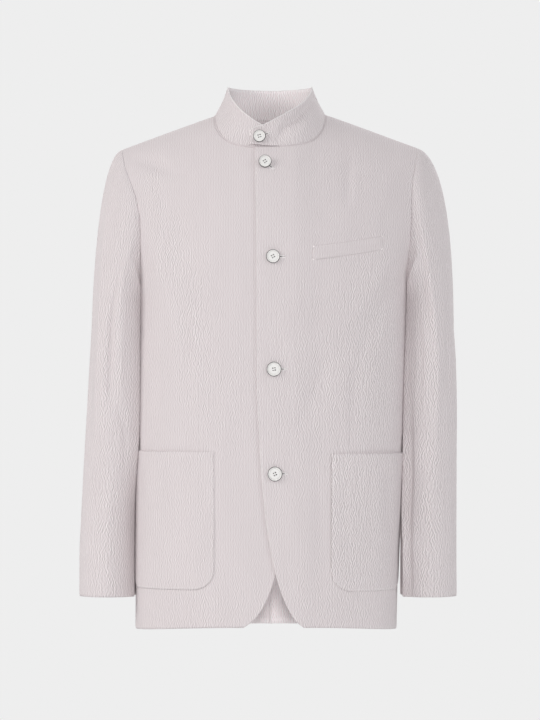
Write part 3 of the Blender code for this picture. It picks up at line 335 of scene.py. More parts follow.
# Sleeve creases run along the arm: an angle round it, 0 outermost and a quarter turn in front
ArmCrease = namedtuple("ArmCrease", "side rise inner outer path")
ARM_CREASES = (
    ArmCrease(RIGHT, 0.0016, 0.13, 0.10, ((0.62, -0.120), (0.78, -0.230), (0.86, -0.330), (0.80, -0.430))),
    ArmCrease(RIGHT, -0.0056, 0.24, 0.14, ((1.46, -0.175), (1.38, -0.300), (1.42, -0.385), (1.72, -0.425))),
    ArmCrease(RIGHT, 0.0018, 0.12, 0.14, ((1.12, -0.190), (1.10, -0.320), (1.16, -0.460))),
    ArmCrease(RIGHT, -0.0022, 0.10, 0.10, ((1.75, -0.415), (2.00, -0.450), (2.10, -0.500))),
    ArmCrease(RIGHT, 0.0010, 0.10, 0.14, ((1.95, -0.260), (1.85, -0.380), (1.98, -0.480))),
    ArmCrease(RIGHT, -0.0010, 0.11, 0.09, ((0.95, -0.440), (1.10, -0.540), (1.02, -0.680))),
    ArmCrease(RIGHT, -0.0011, 0.12, 0.10, ((0.10, -0.300), (0.45, -0.380), (0.55, -0.440))),
    ArmCrease(RIGHT, 0.0008, 0.14, 0.10, ((1.62, -0.500), (1.55, -0.590), (1.66, -0.690))),
    ArmCrease(LEFT, 0.0015, 0.11, 0.14, ((1.50, -0.150), (1.42, -0.260), (1.30, -0.380), (1.36, -0.500))),
    ArmCrease(LEFT, -0.0013, 0.10, 0.10, ((0.70, -0.200), (0.84, -0.320), (0.76, -0.460))),
    ArmCrease(LEFT, -0.0046, 0.20, 0.09, ((2.30, -0.420), (2.25, -0.520), (2.29, -0.620), (2.24, -0.700))),
    ArmCrease(LEFT, -0.0012, 0.12, 0.09, ((2.05, -0.280), (1.92, -0.360), (2.00, -0.420))),
    ArmCrease(LEFT, 0.0011, 0.12, 0.10, ((1.55, -0.470), (1.48, -0.560), (1.58, -0.690))),
    ArmCrease(LEFT, -0.0009, 0.09, 0.12, ((0.98, -0.500), (0.92, -0.590), (1.00, -0.690))),
    ArmCrease(LEFT, 0.0008, 0.12, 0.10, ((0.30, -0.340), (0.42, -0.440), (0.36, -0.560))),
    ArmCrease(RIGHT, -0.0016, 0.12, 0.10, ((-0.90, -0.200), (-1.30, -0.330), (-1.70, -0.410))),
    ArmCrease(RIGHT, 0.0013, 0.10, 0.12, ((-0.60, -0.330), (-0.95, -0.430), (-1.40, -0.470))),
    ArmCrease(RIGHT, -0.0010, 0.10, 0.09, ((-1.05, -0.480), (-1.20, -0.580), (-1.10, -0.690))),
    ArmCrease(LEFT, -0.0015, 0.11, 0.12, ((-0.80, -0.220), (-1.20, -0.350), (-1.75, -0.425))),
    ArmCrease(LEFT, 0.0012, 0.12, 0.09, ((-0.55, -0.350), (-1.00, -0.440), (-1.45, -0.480))),
    ArmCrease(LEFT, -0.0009, 0.09, 0.11, ((-1.25, -0.500), (-1.10, -0.600), (-1.22, -0.690))),
)
# Darts: narrow sewn lines above the pockets
DARTS = (
    Crease("front_right", -0.0007, 0.0012, 0.0016, ((-0.1000, -0.430), (-0.1002, -0.490))),
    Crease("front_left", -0.0008, 0.0013, 0.0016, ((0.1140, -0.335), (0.1138, -0.492))),
    Crease("front_left", -0.0006, 0.0012, 0.0015, ((0.0960, -0.462), (0.1010, -0.492))),
)

# Puckers of the cloth: half a blister across and along the stripes, and the usual height
PUCKER_ACROSS, PUCKER_ALONG, PUCKER_RISE = 0.0016, 0.0075, 0.00014
# Their rows sway: size of its cells and reach. Smaller ones lie between: shares of the size and height
PUCKER_SWAY_ACROSS, PUCKER_SWAY_ALONG, PUCKER_SWAY = 0.012, 0.019, 0.0013
SMALL_ACROSS, SMALL_ALONG, SMALL_HEIGHT = 0.7, 0.6, 0.6
# Height on a pocket, and the distance from a sewn edge over which puckers grow
PATCH_PUCKER, PUCKER_EDGE = 0.00006, 0.004
# Starting numbers of the noise for puckers and gathers
PUCKER_SEEDS = {"body": 11, "sleeve": 71, "collar": 131, "pocket": 151, "welt": 171}
GATHER_SEEDS, SEED_STEP = {"body": 5, "sleeve": 17, "pocket": 33}, 10
# How high the puckers stand: a usual share for each piece, with both pieces of a sleeve alike,
# and places where the cloth is drawn up more
USUAL_ROUGH = {
    "front_right": 0.16, "front_left": 0.20, "back_right": 0.40, "back_left": 0.40, "collar": 0.62,
    "top_sleeve_right": 0.62, "top_sleeve_left": 0.92,
    "pocket_right": 0.36, "pocket_left": 1.00, "breast_welt": 0.22,
}
Rough = namedtuple("Rough", "piece x z half_width half_height extra")
ROUGH = (
    Rough("front_right", -0.168, -0.110, 0.016, 0.045, 0.50),
    Rough("front_right", -0.145, -0.190, 0.022, 0.050, 0.55),
    Rough("front_right", -0.112, -0.290, 0.028, 0.090, 0.55),
    Rough("front_right", -0.178, -0.330, 0.018, 0.160, 0.30),
    Rough("front_right", -0.070, -0.400, 0.065, 0.090, 0.30),
    Rough("front_right", -0.100, -0.710, 0.120, 0.060, 0.32),
    Rough("front_left", 0.150, -0.250, 0.050, 0.090, 0.45),
    Rough("front_left", 0.160, -0.390, 0.060, 0.110, 0.95),
    Rough("front_left", 0.055, -0.400, 0.060, 0.130, 0.42),
    Rough("front_left", 0.203, -0.130, 0.008, 0.050, 0.90),
    Rough("front_left", 0.130, -0.080, 0.080, 0.040, 0.18),
    Rough("front_left", 0.120, -0.710, 0.120, 0.070, 0.52),
    Rough("back_right", -0.130, -0.300, 0.050, 0.150, 0.40),
    Rough("back_left", 0.130, -0.300, 0.050, 0.150, 0.40),
)

# Seams and edges: depth and width of the dip, and the gathers that run into an armhole seam
SEAM_DIP, SEAM_WIDTH = 0.0005, 0.0016
# Share of the usual dip at the armhole and at the neck: some seams hardly show
ARMHOLE_SEAM = {"front_right": 0.36, "front_left": 0.20, "back_right": 0.80, "back_left": 0.80}
NECK_SEAM = {"front_right": 0.10, "front_left": 0.80, "back_right": 1.00, "back_left": 1.00}
# The same for the shoulder, growing over so many rows from its tip, and for the collar's foot
SHOULDER_SEAM, SHOULDER_SEAM_ROWS, COLLAR_SEAM = 0.35, 12, 0.6
# Distance below the shoulder tip over which the armhole's seam and gathers grow
TIP_FADE = 0.030
EDGE_DIP, EDGE_WIDTH = 0.0005, 0.0010
GATHER_RISE, GATHER_PITCH, GATHER_REACH = 0.00032, 0.0062, 0.006
# Gathers stray from their pitch and differ in height: how much, over what length, and the noise's row
GATHER_STRAY, STRAY_RUN, STRAY_ROW = 2.2, 0.021, 0.5
GATHER_USUAL, GATHER_UNEVEN, UNEVEN_RUN, UNEVEN_ROW = 0.65, 0.5, 0.013, 3.5
# Distance over which a sewn skin comes onto its neighbour's edge
MEET_REACH = 0.005
# Hems are turned in: width of the band inside, how far it stands in and how soon
HEM_BAND, CUFF_BAND, BAND_STEP, BAND_EASE = 0.028, 0.024, 0.0009, 0.001

# Cloth colours and stripe pitch, and how many times paler the cloth is drawn inside the shells and inside the
# collar: painted light, where more light reaches in
PINK, OFF_WHITE, GREY_ROSE = (0.660, 0.588, 0.598), (0.706, 0.656, 0.662), (0.642, 0.584, 0.592)
# Painted shade for the blisters' hollows and painted highlight for their crests
HOLLOW_SHADE_ROSE, CREST_HIGHLIGHT_WHITE = (0.500, 0.447, 0.455), (0.850, 0.800, 0.806)
STRIPE_PITCH, INSIDE_PAINTED_LIGHT, COLLAR_PAINTED_LIGHT = 0.0036, 1.44, 1.26
# Sway of the stripes and how sharp they are, soft blotches of colour, slubs, and the plain weave
SWAY_CELLS, STRIPE_SWAY, STRIPE_SHARP, STRIPE_SOFT = (55, 22), 2.4, 0.75, 0.2
BLOTCH_CELLS, BLOTCH_GAIN, BLOTCH_BASE, BLOTCH_MOST = (34, 9), 1.4, -0.45, 0.55
SLUB_CELLS, SLUB_GAIN, SLUB_BASE = (1500, 130), 0.5, -0.16
WARP_PITCH, WEFT_PITCH, WEAVE_RISE, WEAVE_STRENGTH = 0.00062, 0.00070, 0.00006, 0.35
# Blisters of the weave: pitch of their rows, cells a metre across and along, contrast of their painted shade
# and painted highlight, waver and swell
BLISTER_PITCH, BLISTER_CELLS, BLISTER_CONTRAST = 0.0027, (240, 210), 9.0
WAVER_CELLS, WAVER = (150, 130), 4.0
SWELL_CELLS, SWELL_RISE = (640, 175), 0.0006
CLOTH_ROUGHNESS, CLOTH_SPECULAR, SHEEN, SHEEN_ROUGHNESS = 0.88, 0.25, 0.12, 0.45
# Plain materials: colour, roughness, cells of the grain a metre, its height, and how far the colour varies
Finish = namedtuple("Finish", "name color roughness grain_cells grain_rise spread")
FINISHES = (
    Finish("seam_roll", (0.70, 0.635, 0.645), 0.88, 700, 0.00006, 0.12),
    # Dark line along the left pocket's edge: painted shadow
    Finish("shadow_line", (0.34, 0.30, 0.305), 0.88, 700, 0.00006, 0.12),
    Finish("button_white", (0.80, 0.785, 0.77), 0.50, 260, 0.00004, 0.05),
    # Dark band on a button's edge: painted shadow round the button, with its darker rim
    Finish("button_edge_shade", (0.085, 0.08, 0.08), 0.45, 400, 0.00004, 0.30),
    Finish("button_thread", (0.46, 0.44, 0.43), 0.80, 1500, 0.00008, 0.20),
    # Pale lines on turned edges: painted highlight
    Finish("edge_highlight", (0.84, 0.805, 0.805), 0.85, 700, 0.00006, 0.12),
    Finish("thread", (0.88, 0.85, 0.845), 0.80, 1500, 0.00008, 0.14),
    # Near-black finish for the buttonhole slits and the button holes: painted shade
    Finish("slit_and_hole_shade", (0.07, 0.06, 0.06), 0.90, 900, 0.00005, 0.30),
    Finish("floor_pale", (0.82, 0.82, 0.82), 0.90, 3, 0.0002, 0.02),
)
FINE_GRAIN, GRAIN_STRENGTH = 4, 0.3
# Room: brightness behind and before the jacket, and the directions between which it changes
BACKGROUND, ROOM_BEFORE, ROOM_FROM, ROOM_TO = 0.855, 0.26, -0.35, 0.60


def curve(xs, ys, at):
    """Smooth curve through a table's points with no overshoot (monotone cubic)."""
    xs = np.asarray(xs, float)
    ys = np.asarray(ys, float)
    order = np.argsort(xs)
    xs, ys = xs[order], ys[order]
    step = np.diff(xs)
    slope = np.diff(ys) / step
    tangent = np.zeros_like(ys)
    tangent[0], tangent[-1] = slope[0], slope[-1]
    same = slope[:-1] * slope[1:] > 0
    before, after = 2 * step[1:] + step[:-1], step[1:] + 2 * step[:-1]
    with np.errstate(divide="ignore", invalid="ignore"):
        mean = (before + after) / (before / slope[:-1] + after / slope[1:])
    tangent[1:-1] = np.where(same, mean, 0.0)
    at = np.clip(np.asarray(at, float), xs[0], xs[-1])
    k = np.clip(np.searchsorted(xs, at) - 1, 0, len(xs) - 2)
    u = (at - xs[k]) / step[k]
    return (
        (2 * u**3 - 3 * u**2 + 1) * ys[k]
        + (u**3 - 2 * u**2 + u) * step[k] * tangent[k]
        + (3 * u**2 - 2 * u**3) * ys[k + 1]
        + (u**3 - u**2) * step[k] * tangent[k + 1]
    )


def column(table, name, at):
    """A named column of a table, read at a height."""
    return curve([row.z for row in table], [getattr(row, name) for row in table], at)


def sided(table, name, side, at):
    """A column that the table states for each side of the wearer."""
    return column(table, ("left_" if side == LEFT else "right_") + name, at)


def unit(v):
    return v / np.maximum(np.linalg.norm(v, axis=-1, keepdims=True), 1e-12)


def smooth(a, b, x):
    u = np.clip((x - a) / (b - a), 0.0, 1.0)
    return u * u * (3 - 2 * u)


def rounded(share):
    """Depth of a body section, as a share, at a share of its half width, or the other way round."""
    return (1 - share**BODY_SQUARE) ** (1 / BODY_SQUARE)


def run_length(path):
    """Distance along a path from its first point."""
    return np.concatenate([[0], np.cumsum(np.linalg.norm(np.diff(path, axis=0), axis=1))])


def read_along(at, along, values):
    """Points or directions of a path, read at distances along it."""
    return np.stack([np.interp(at, along, values[:, k]) for k in range(3)], -1)


# Body surface, by the same formulas as the solids


def shoulder_z(side, x):
    lift = LEFT_SHOULDER_LIFT if side == LEFT else RIGHT_SHOULDER_LIFT
    line = SHOULDER_PEAK - SHOULDER_SLOPE * np.hypot(x, SHOULDER_ROUND)
    return line + lift * smooth(0, NECK_SIDE_X, np.abs(x))


def body_parts(side, face, x, z):
    """Share of the half width, depth on the face and how much of it is reached below the shoulder."""
    reach = np.clip(np.abs(x) / sided(SECTIONS, "half", side, z), 0.0, 1.0)
    fall, power = (FRONT_FALL, FRONT_FALL_ROUND) if face == FRONT else (BACK_FALL, BACK_FALL_ROUND)
    below = np.clip((shoulder_z(side, x) - z) / fall, 0.0, 1.0)
    swell = (1 - (1 - below) ** power) ** (1 / power)
    depth = column(SECTIONS, "front_depth" if face == FRONT else "back_depth", z)
    return reach, depth * rounded(reach), swell


def body_surface(side, face, x, z):
    """Points of the body's middle surface, given the place seen from the front."""
    _, depth, swell = body_parts(side, face, x, z)
    y = column(SECTIONS, "side_y", z) + face * depth * swell
    return np.stack([x * side, y, z], axis=-1)


# Length round a body section from the centre out, as a table: points, their crowding and depth to width
ARC_POINTS, ARC_CROWD, ARC_DEPTH = 400, 2.2, 0.62
ARC_REACH = 1 - (1 - np.linspace(0, 1, ARC_POINTS)) ** ARC_CROWD
ARC_FLAT = ARC_DEPTH * rounded(ARC_REACH)
ARC_LENGTH = np.concatenate([[0], np.cumsum(np.hypot(np.diff(ARC_REACH), np.diff(ARC_FLAT)))])


def body_grain(side, face, x, z):
    """Place on the flat cloth of a body panel: across and along its stripes, in metres."""
    reach, depth, swell = body_parts(side, face, x, z)
    across = np.sign(x) * sided(SECTIONS, "half", side, z) * np.interp(reach, ARC_REACH, ARC_LENGTH)
    return np.stack([across * side, z + depth * (1 - swell)], axis=-1)


TIP_Z = {side: float(shoulder_z(side, SHOULDER_TIP_X)) for side in (RIGHT, LEFT)}


def armhole_place(side, face, angle):
    """Armhole seam, from the shoulder tip (angle 0) to the underarm (angle pi)."""
    z = (TIP_Z[side] + UNDERARM_Z) / 2 + (TIP_Z[side] - UNDERARM_Z) / 2 * np.cos(angle)
    x = sided(ARMHOLES, "x", side, z)
    if face == BACK:
        x = x + BACK_ARMHOLE_EXTRA * np.sin(angle) ** 2
    return x, z


def panel_rows(side, face):
    """Rows of a body panel from hem to neckline: ends seen from the front, sweep and late rise."""
    skirt, armhole, shoulder = PANEL_ROWS
    center_hem = HEM_FRONT_Z if face == FRONT else HEM_BACK_Z
    center_yoke = YOKE_FRONT_Z if face == FRONT else YOKE_BACK_Z
    center_neck = NECK_FRONT_Z if face == FRONT else NECK_BACK_Z
    up = np.linspace(0, 1, skirt + 1)
    z_in = [center_hem + (UNDERARM_Z - center_hem) * up]
    z_out = [HEM_SIDE_Z + (UNDERARM_Z - HEM_SIDE_Z) * up]
    x_out = [sided(SECTIONS, "half", side, z_out[0])]
    sweep, late = [np.full(skirt + 1, SWEEP_HEM)], [np.zeros(skirt + 1)]
    part = np.linspace(0, 1, armhole + 1)[1:]
    x, z = armhole_place(side, face, math.pi * (1 - part))
    x_out.append(x + (SHOULDER_TIP_X - x[-1]) * smooth(TIP_EASE, 1.0, part))
    z_out.append(z)
    z_in.append(UNDERARM_Z + (center_yoke - UNDERARM_Z) * part)
    sweep.append(SWEEP_HEM + (SWEEP_YOKE - SWEEP_HEM) * part)
    late.append(np.zeros(armhole))
    part = np.linspace(0, 1, shoulder + 1)[1:]
    x = SHOULDER_TIP_X + (NECK_SIDE_X - SHOULDER_TIP_X) * part
    x_out.append(x)
    z_out.append(shoulder_z(side, x))
    z_in.append(center_yoke + (center_neck - center_yoke) * part)
    neck_sweep = SWEEP_FRONT_NECK if face == FRONT else SWEEP_BACK_NECK
    sweep.append(SWEEP_YOKE + (neck_sweep - SWEEP_YOKE) * part)
    late.append(part)
    return tuple(np.concatenate(v)[:, None] for v in (z_in, z_out, x_out, sweep, late))


def panel_places(side, face):
    """Places of a panel's grid seen from the front: rows from the hem up, columns from the centre out."""
    z_in, z_out, x_out, sweep, late = panel_rows(side, face)
    even = np.linspace(0, 1, PANEL_COLUMNS[face] + 1)[None, :]
    s = 1 - (1 - even) ** (1 + SHOULDER_CROWD * late)
    reach = 1 - (1 - s) ** COLUMN_CROWD
    z = z_in + (z_out - z_in) * (reach + (s - reach) * late) ** sweep
    x_in = np.zeros_like(z_in)
    if face == FRONT:
        x_in = side * sided(FRONT_EDGES, "front", side, z_in)
    return x_in + (x_out - x_in) * reach, z


def grid_normals(points, side_tangent=None, closed=False):
    """Normals of a grid of points; a tangent across the last column can come from outside."""
    along = np.gradient(points, axis=0, edge_order=2)
    if closed:
        across = np.roll(points, -1, axis=1) - np.roll(points, 1, axis=1)
    else:
        across = np.gradient(points, axis=1, edge_order=2)
    if side_tangent is not None:
        known = np.isfinite(side_tangent[:, 0])
        across[known, -1] = side_tangent[known]
    return unit(np.cross(across, along))


# Relief of the cloth


def hashed(i, j, seed):
    """Repeatable numbers from -1 to 1 for whole-number places."""
    n = (i.astype(np.int64) * 374761393 + j.astype(np.int64) * 668265263 + seed * 974634777) & 0xFFFFFFFF
    n = ((n ^ (n >> 13)) * 1274126177) & 0xFFFFFFFF
    return ((n ^ (n >> 16)) & 0xFFFF) / 32767.5 - 1


def noise(u, v, seed):
    """Smooth noise between the whole-number places of a plane."""
    i, j = np.floor(u), np.floor(v)
    a, b = u - i, v - j
    a, b = a * a * (3 - 2 * a), b * b * (3 - 2 * b)
    low = hashed(i, j, seed) * (1 - a) + hashed(i + 1, j, seed) * a
    high = hashed(i, j + 1, seed) * (1 - a) + hashed(i + 1, j + 1, seed) * a
    return low * (1 - b) + high * b


def pucker(grain, seed):
    """Blisters of the cloth: short, long-ways with the stripes, uneven and never in step."""
    u, v = grain[..., 0], grain[..., 1]
    sway = noise(u / PUCKER_SWAY_ACROSS, v / PUCKER_SWAY_ALONG, seed) * PUCKER_SWAY
    broad = noise((u + sway) / PUCKER_ACROSS, v / PUCKER_ALONG, seed + 1)
    small = noise((u - sway) / (PUCKER_ACROSS * SMALL_ACROSS), v / (PUCKER_ALONG * SMALL_ALONG), seed + 2)
    return broad + SMALL_HEIGHT * small


def along_path(places, path):
    """Signed distance of places from a path in the plane, and the share of its length they lie at."""
    path = np.asarray(path, float)
    lengths = np.linalg.norm(np.diff(path, axis=0), axis=1)
    best = np.full(places.shape[:-1], np.inf)
    signed, share = np.zeros_like(best), np.zeros_like(best)
    for k, length in enumerate(lengths):
        run = (path[k + 1] - path[k]) / length
        offset = places - path[k]
        part = np.clip(offset @ run, 0, length)
        away = np.linalg.norm(offset - part[..., None] * run, axis=-1)
        nearer = away < best
        best = np.where(nearer, away, best)
        turn = np.sign(run[0] * offset[..., 1] - run[1] * offset[..., 0])
        signed = np.where(nearer, away * turn, signed)
        share = np.where(nearer, (lengths[:k].sum() + part) / lengths.sum(), share)
    return signed, share


def crease_rise(rows, places, end=CREASE_END, power=CREASE_POWER):
    """Outward rise of creases at places in the plane that their paths are given in."""
    rise = np.zeros(places.shape[:-1])
    for row in rows:
        signed, share = along_path(places, row.path)
        width = np.where(signed > 0, row.inner, row.outer)
        fade = np.sin(math.pi * np.clip(end + (1 - 2 * end) * share, 0, 1)) ** power
        rise += row.rise * fade * np.exp(-((signed / width) ** 2))
    return rise


def piece_rise(table, piece, points, *ends):
    """Rise of the creases that a table gives a body panel."""
    return crease_rise([row for row in table if row.piece == piece], points[..., [0, 2]], *ends)


def lap_rise(x):
    """How far the left front and collar stand out to pass over the right ones."""
    return LAP_LIFT * smooth(LAP_START, LAP_FULL, x)


def roughness_at(piece, points):
    """How high the puckers stand, as a share."""
    rough = np.full(points.shape[:-1], USUAL_ROUGH[piece])
    for row in ROUGH:
        if row.piece == piece:
            across = (points[..., 0] - row.x) / row.half_width
            along = (points[..., 2] - row.z) / row.half_height
            rough += row.extra * np.exp(-(across**2) - along**2)
    return rough


def run_from(points, axis, end):
    """Distance along the rows or columns of a grid from its first or last line."""
    steps = np.linalg.norm(np.diff(points, axis=axis), axis=-1)
    start = np.zeros_like(np.take(steps, [0], axis=axis))
    if end == 0:
        return np.concatenate([start, np.cumsum(steps, axis=axis)], axis=axis)
    return np.flip(np.concatenate([start, np.cumsum(np.flip(steps, axis), axis=axis)], axis=axis), axis)


def dip(distance, depth=SEAM_DIP, width=SEAM_WIDTH):
    return -depth * np.exp(-((distance / width) ** 2))


def edge_dip(distance):
    """The slight dip beside a turned edge."""
    return dip(distance, EDGE_DIP, EDGE_WIDTH)


def gathers(distance, along, seed):
    """Short ripples square to a seam that eases cloth in."""
    stray = GATHER_STRAY * noise(along / STRAY_RUN, along * 0 + STRAY_ROW, seed)
    wave = np.sin(2 * math.pi * along / GATHER_PITCH + stray)
    uneven = GATHER_USUAL + GATHER_UNEVEN * noise(along / UNEVEN_RUN, along * 0 + UNEVEN_ROW, seed + 1)
    return GATHER_RISE * wave * uneven * np.exp(-distance / GATHER_REACH)


def turned_band(from_edge, width):
    """How far a turned hem stands in: its whole step on the band and none beyond it."""
    return BAND_STEP * (1 - smooth(width - BAND_EASE, width + BAND_EASE, from_edge))


# Materials


def shader_tree(name, roughness):
    made = bpy.data.materials.new(name)
    made.use_nodes = True
    tree = made.node_tree
    shader = tree.nodes["Principled BSDF"]
    shader.inputs["Roughness"].default_value = roughness
    return made, tree, shader


def math_node(tree, operation, first, second=None, third=None):
    node = tree.nodes.new("ShaderNodeMath")
    node.operation = operation
    for k, value in enumerate((first, second, third)):
        if isinstance(value, (int, float)):
            node.inputs[k].default_value = value
        elif value is not None:
            tree.links.new(value, node.inputs[k])
    return node.outputs[0]


def stretched_noise(tree, vector, scale, detail):
    """Noise on the flat cloth, with a scale across and along the stripes, in cells a metre."""
    mapping = tree.nodes.new("ShaderNodeMapping")
    mapping.inputs["Scale"].default_value = (*scale, 1.0)
    tree.links.new(vector, mapping.inputs["Vector"])
    made = tree.nodes.new("ShaderNodeTexNoise")
    made.inputs["Scale"].default_value = 1.0
    made.inputs["Detail"].default_value = detail
    tree.links.new(mapping.outputs["Vector"], made.inputs["Vector"])
    return made.outputs["Fac"]


def mix_color(tree, share, first, second):
    node = tree.nodes.new("ShaderNodeMix")
    node.data_type = "RGBA"
    tree.links.new(share, node.inputs["Factor"])
    for socket, value in ((node.inputs[6], first), (node.inputs[7], second)):
        if isinstance(value, tuple):
            socket.default_value = (*value, 1.0)
        else:
            tree.links.new(value, socket)
    return node.outputs[2]


def bump(tree, height, distance, strength, before=None):
    node = tree.nodes.new("ShaderNodeBump")
    node.inputs["Distance"].default_value = distance
    node.inputs["Strength"].default_value = strength
    tree.links.new(height, node.inputs["Height"])
    if before is not None:
        tree.links.new(before, node.inputs["Normal"])
    return node.outputs["Normal"]


def cloth_material(name, paler):
    """Puckered cotton with fine pale stripes, woven plainly, with painted shade in the blisters' hollows and
    painted highlight on their crests; every colour is as many times paler.
    """
    pink, off_white, grey_rose, hollow_shade, crest_highlight = (
        tuple(min(c * paler, 1.0) for c in color)
        for color in (PINK, OFF_WHITE, GREY_ROSE, HOLLOW_SHADE_ROSE, CREST_HIGHLIGHT_WHITE))
    made, tree, shader = shader_tree(name, CLOTH_ROUGHNESS)
    shader.inputs["Sheen Weight"].default_value = SHEEN
    shader.inputs["Sheen Roughness"].default_value = SHEEN_ROUGHNESS
    shader.inputs["Specular IOR Level"].default_value = CLOTH_SPECULAR
    uv = tree.nodes.new("ShaderNodeUVMap")
    uv.uv_map = "grain"
    split = tree.nodes.new("ShaderNodeSeparateXYZ")
    tree.links.new(uv.outputs["UV"], split.inputs["Vector"])
    across, along = split.outputs["X"], split.outputs["Y"]
    rough = tree.nodes.new("ShaderNodeAttribute")
    rough.attribute_name = "rough"
    calc, cloud = partial(math_node, tree), partial(stretched_noise, tree, uv.outputs["UV"])

    def lines(run, pitch, stray=0.0):
        """Lines at a pitch across a run of the cloth, as a sine that may stray."""
        return calc("SINE", calc("MULTIPLY_ADD", run, 2 * math.pi / pitch, stray))

    def as_rough(noise_value):
        """Noise about nothing, as high as the cloth is rough."""
        return calc("MULTIPLY", calc("SUBTRACT", noise_value, 0.5), rough.outputs["Fac"])

    def between(value, most):
        return calc("MAXIMUM", calc("MINIMUM", value, most), 0.0)

    stripe = lines(across, STRIPE_PITCH, calc("MULTIPLY", cloud(SWAY_CELLS, 2), STRIPE_SWAY))
    stripe = calc("SMOOTH_MIN", calc("MULTIPLY_ADD", stripe, STRIPE_SHARP, 0.5), 1.0, STRIPE_SOFT)
    color = mix_color(tree, calc("SMOOTH_MAX", stripe, 0.0, STRIPE_SOFT), pink, off_white)
    blotches = calc("MULTIPLY_ADD", cloud(BLOTCH_CELLS, 3), BLOTCH_GAIN, BLOTCH_BASE)
    color = mix_color(tree, between(blotches, BLOTCH_MOST), color, grey_rose)
    slubs = calc("MULTIPLY_ADD", cloud(SLUB_CELLS, 1), SLUB_GAIN, SLUB_BASE)
    color = mix_color(tree, calc("MAXIMUM", slubs, 0.0), color, off_white)
    # The blisters stand in narrow wavering rows along the stripes, broken at uneven lengths
    ripple = lines(across, BLISTER_PITCH, calc("MULTIPLY", cloud(WAVER_CELLS, 1), WAVER))
    blisters = calc("MULTIPLY", ripple, as_rough(cloud(BLISTER_CELLS, 0)))
    # Painted shade and painted highlight: hollows between the blisters are darker, as they see less light,
    # and crests are paler, as they catch more
    for contrast, shade in ((-BLISTER_CONTRAST, hollow_shade), (BLISTER_CONTRAST, crest_highlight)):
        color = mix_color(tree, between(calc("MULTIPLY", blisters, contrast), 1.0), color, shade)
    tree.links.new(color, shader.inputs["Base Color"])
    normal = bump(tree, as_rough(cloud(SWELL_CELLS, 0)), SWELL_RISE, 1.0)
    weave = calc("MULTIPLY", lines(across, WARP_PITCH), lines(along, WEFT_PITCH))
    normal = bump(tree, weave, WEAVE_RISE, WEAVE_STRENGTH, normal)
    tree.links.new(normal, shader.inputs["Normal"])
    return made


def plain_material(row):
    """A colour with a little unevenness and a fine grain."""
    made, tree, shader = shader_tree(row.name, row.roughness)
    coords = tree.nodes.new("ShaderNodeTexCoord")
    cells, fine_cells = row.grain_cells, row.grain_cells * FINE_GRAIN
    cloud = stretched_noise(tree, coords.outputs["Object"], (cells, cells), 3)
    darker = tuple(c * (1 - row.spread) for c in row.color)
    tree.links.new(mix_color(tree, cloud, row.color, darker), shader.inputs["Base Color"])
    fine = stretched_noise(tree, coords.outputs["Object"], (fine_cells, fine_cells), 2)
    tree.links.new(bump(tree, fine, row.grain_rise, GRAIN_STRENGTH), shader.inputs["Normal"])
    return made


CLOTH = cloth_material("seersucker", 1.0)
# Paler copies of the same cloth for the inner skins: painted light
CLOTH_INSIDE_LIT = cloth_material("seersucker_inside_lit", INSIDE_PAINTED_LIGHT)
COLLAR_INSIDE_LIT = cloth_material("seersucker_collar_inside_lit", COLLAR_PAINTED_LIGHT)
PLAIN = {row.name: plain_material(row) for row in FINISHES}


# Meshes


def add_object(name, data):
    made = bpy.data.objects.new(name, data)
    bpy.context.scene.collection.objects.link(made)
    return made


def new_piece(name, verts, faces, material, uv=None, rough=None):
    mesh = bpy.data.meshes.new(name)
    mesh.from_pydata([tuple(v) for v in verts], [], faces)
    mesh.polygons.foreach_set("use_smooth", np.full(len(mesh.polygons), True))
    if rough is not None:
        values = mesh.attributes.new("rough", "FLOAT", "POINT")
        values.data.foreach_set("value", np.asarray(rough, np.float32))
    if uv is not None:
        layer = mesh.uv_layers.new(name="grain")
        corners = np.zeros(len(mesh.loops), np.int32)
        mesh.loops.foreach_get("vertex_index", corners)
        layer.data.foreach_set("uv", np.asarray(uv, np.float32)[corners].ravel())
    mesh.materials.append(material)
    mesh.update()
    piece = add_object(name, mesh)
    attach(piece, "root")
    return piece


def coarse_lines(count, extra=()):
    """Every few lines of a grid, with its last one and any extra ones."""
    return np.unique(np.concatenate([np.arange(0, count, INNER_STEP), [count - 1], np.asarray(extra, int)]))


shells, skins = {}, {}


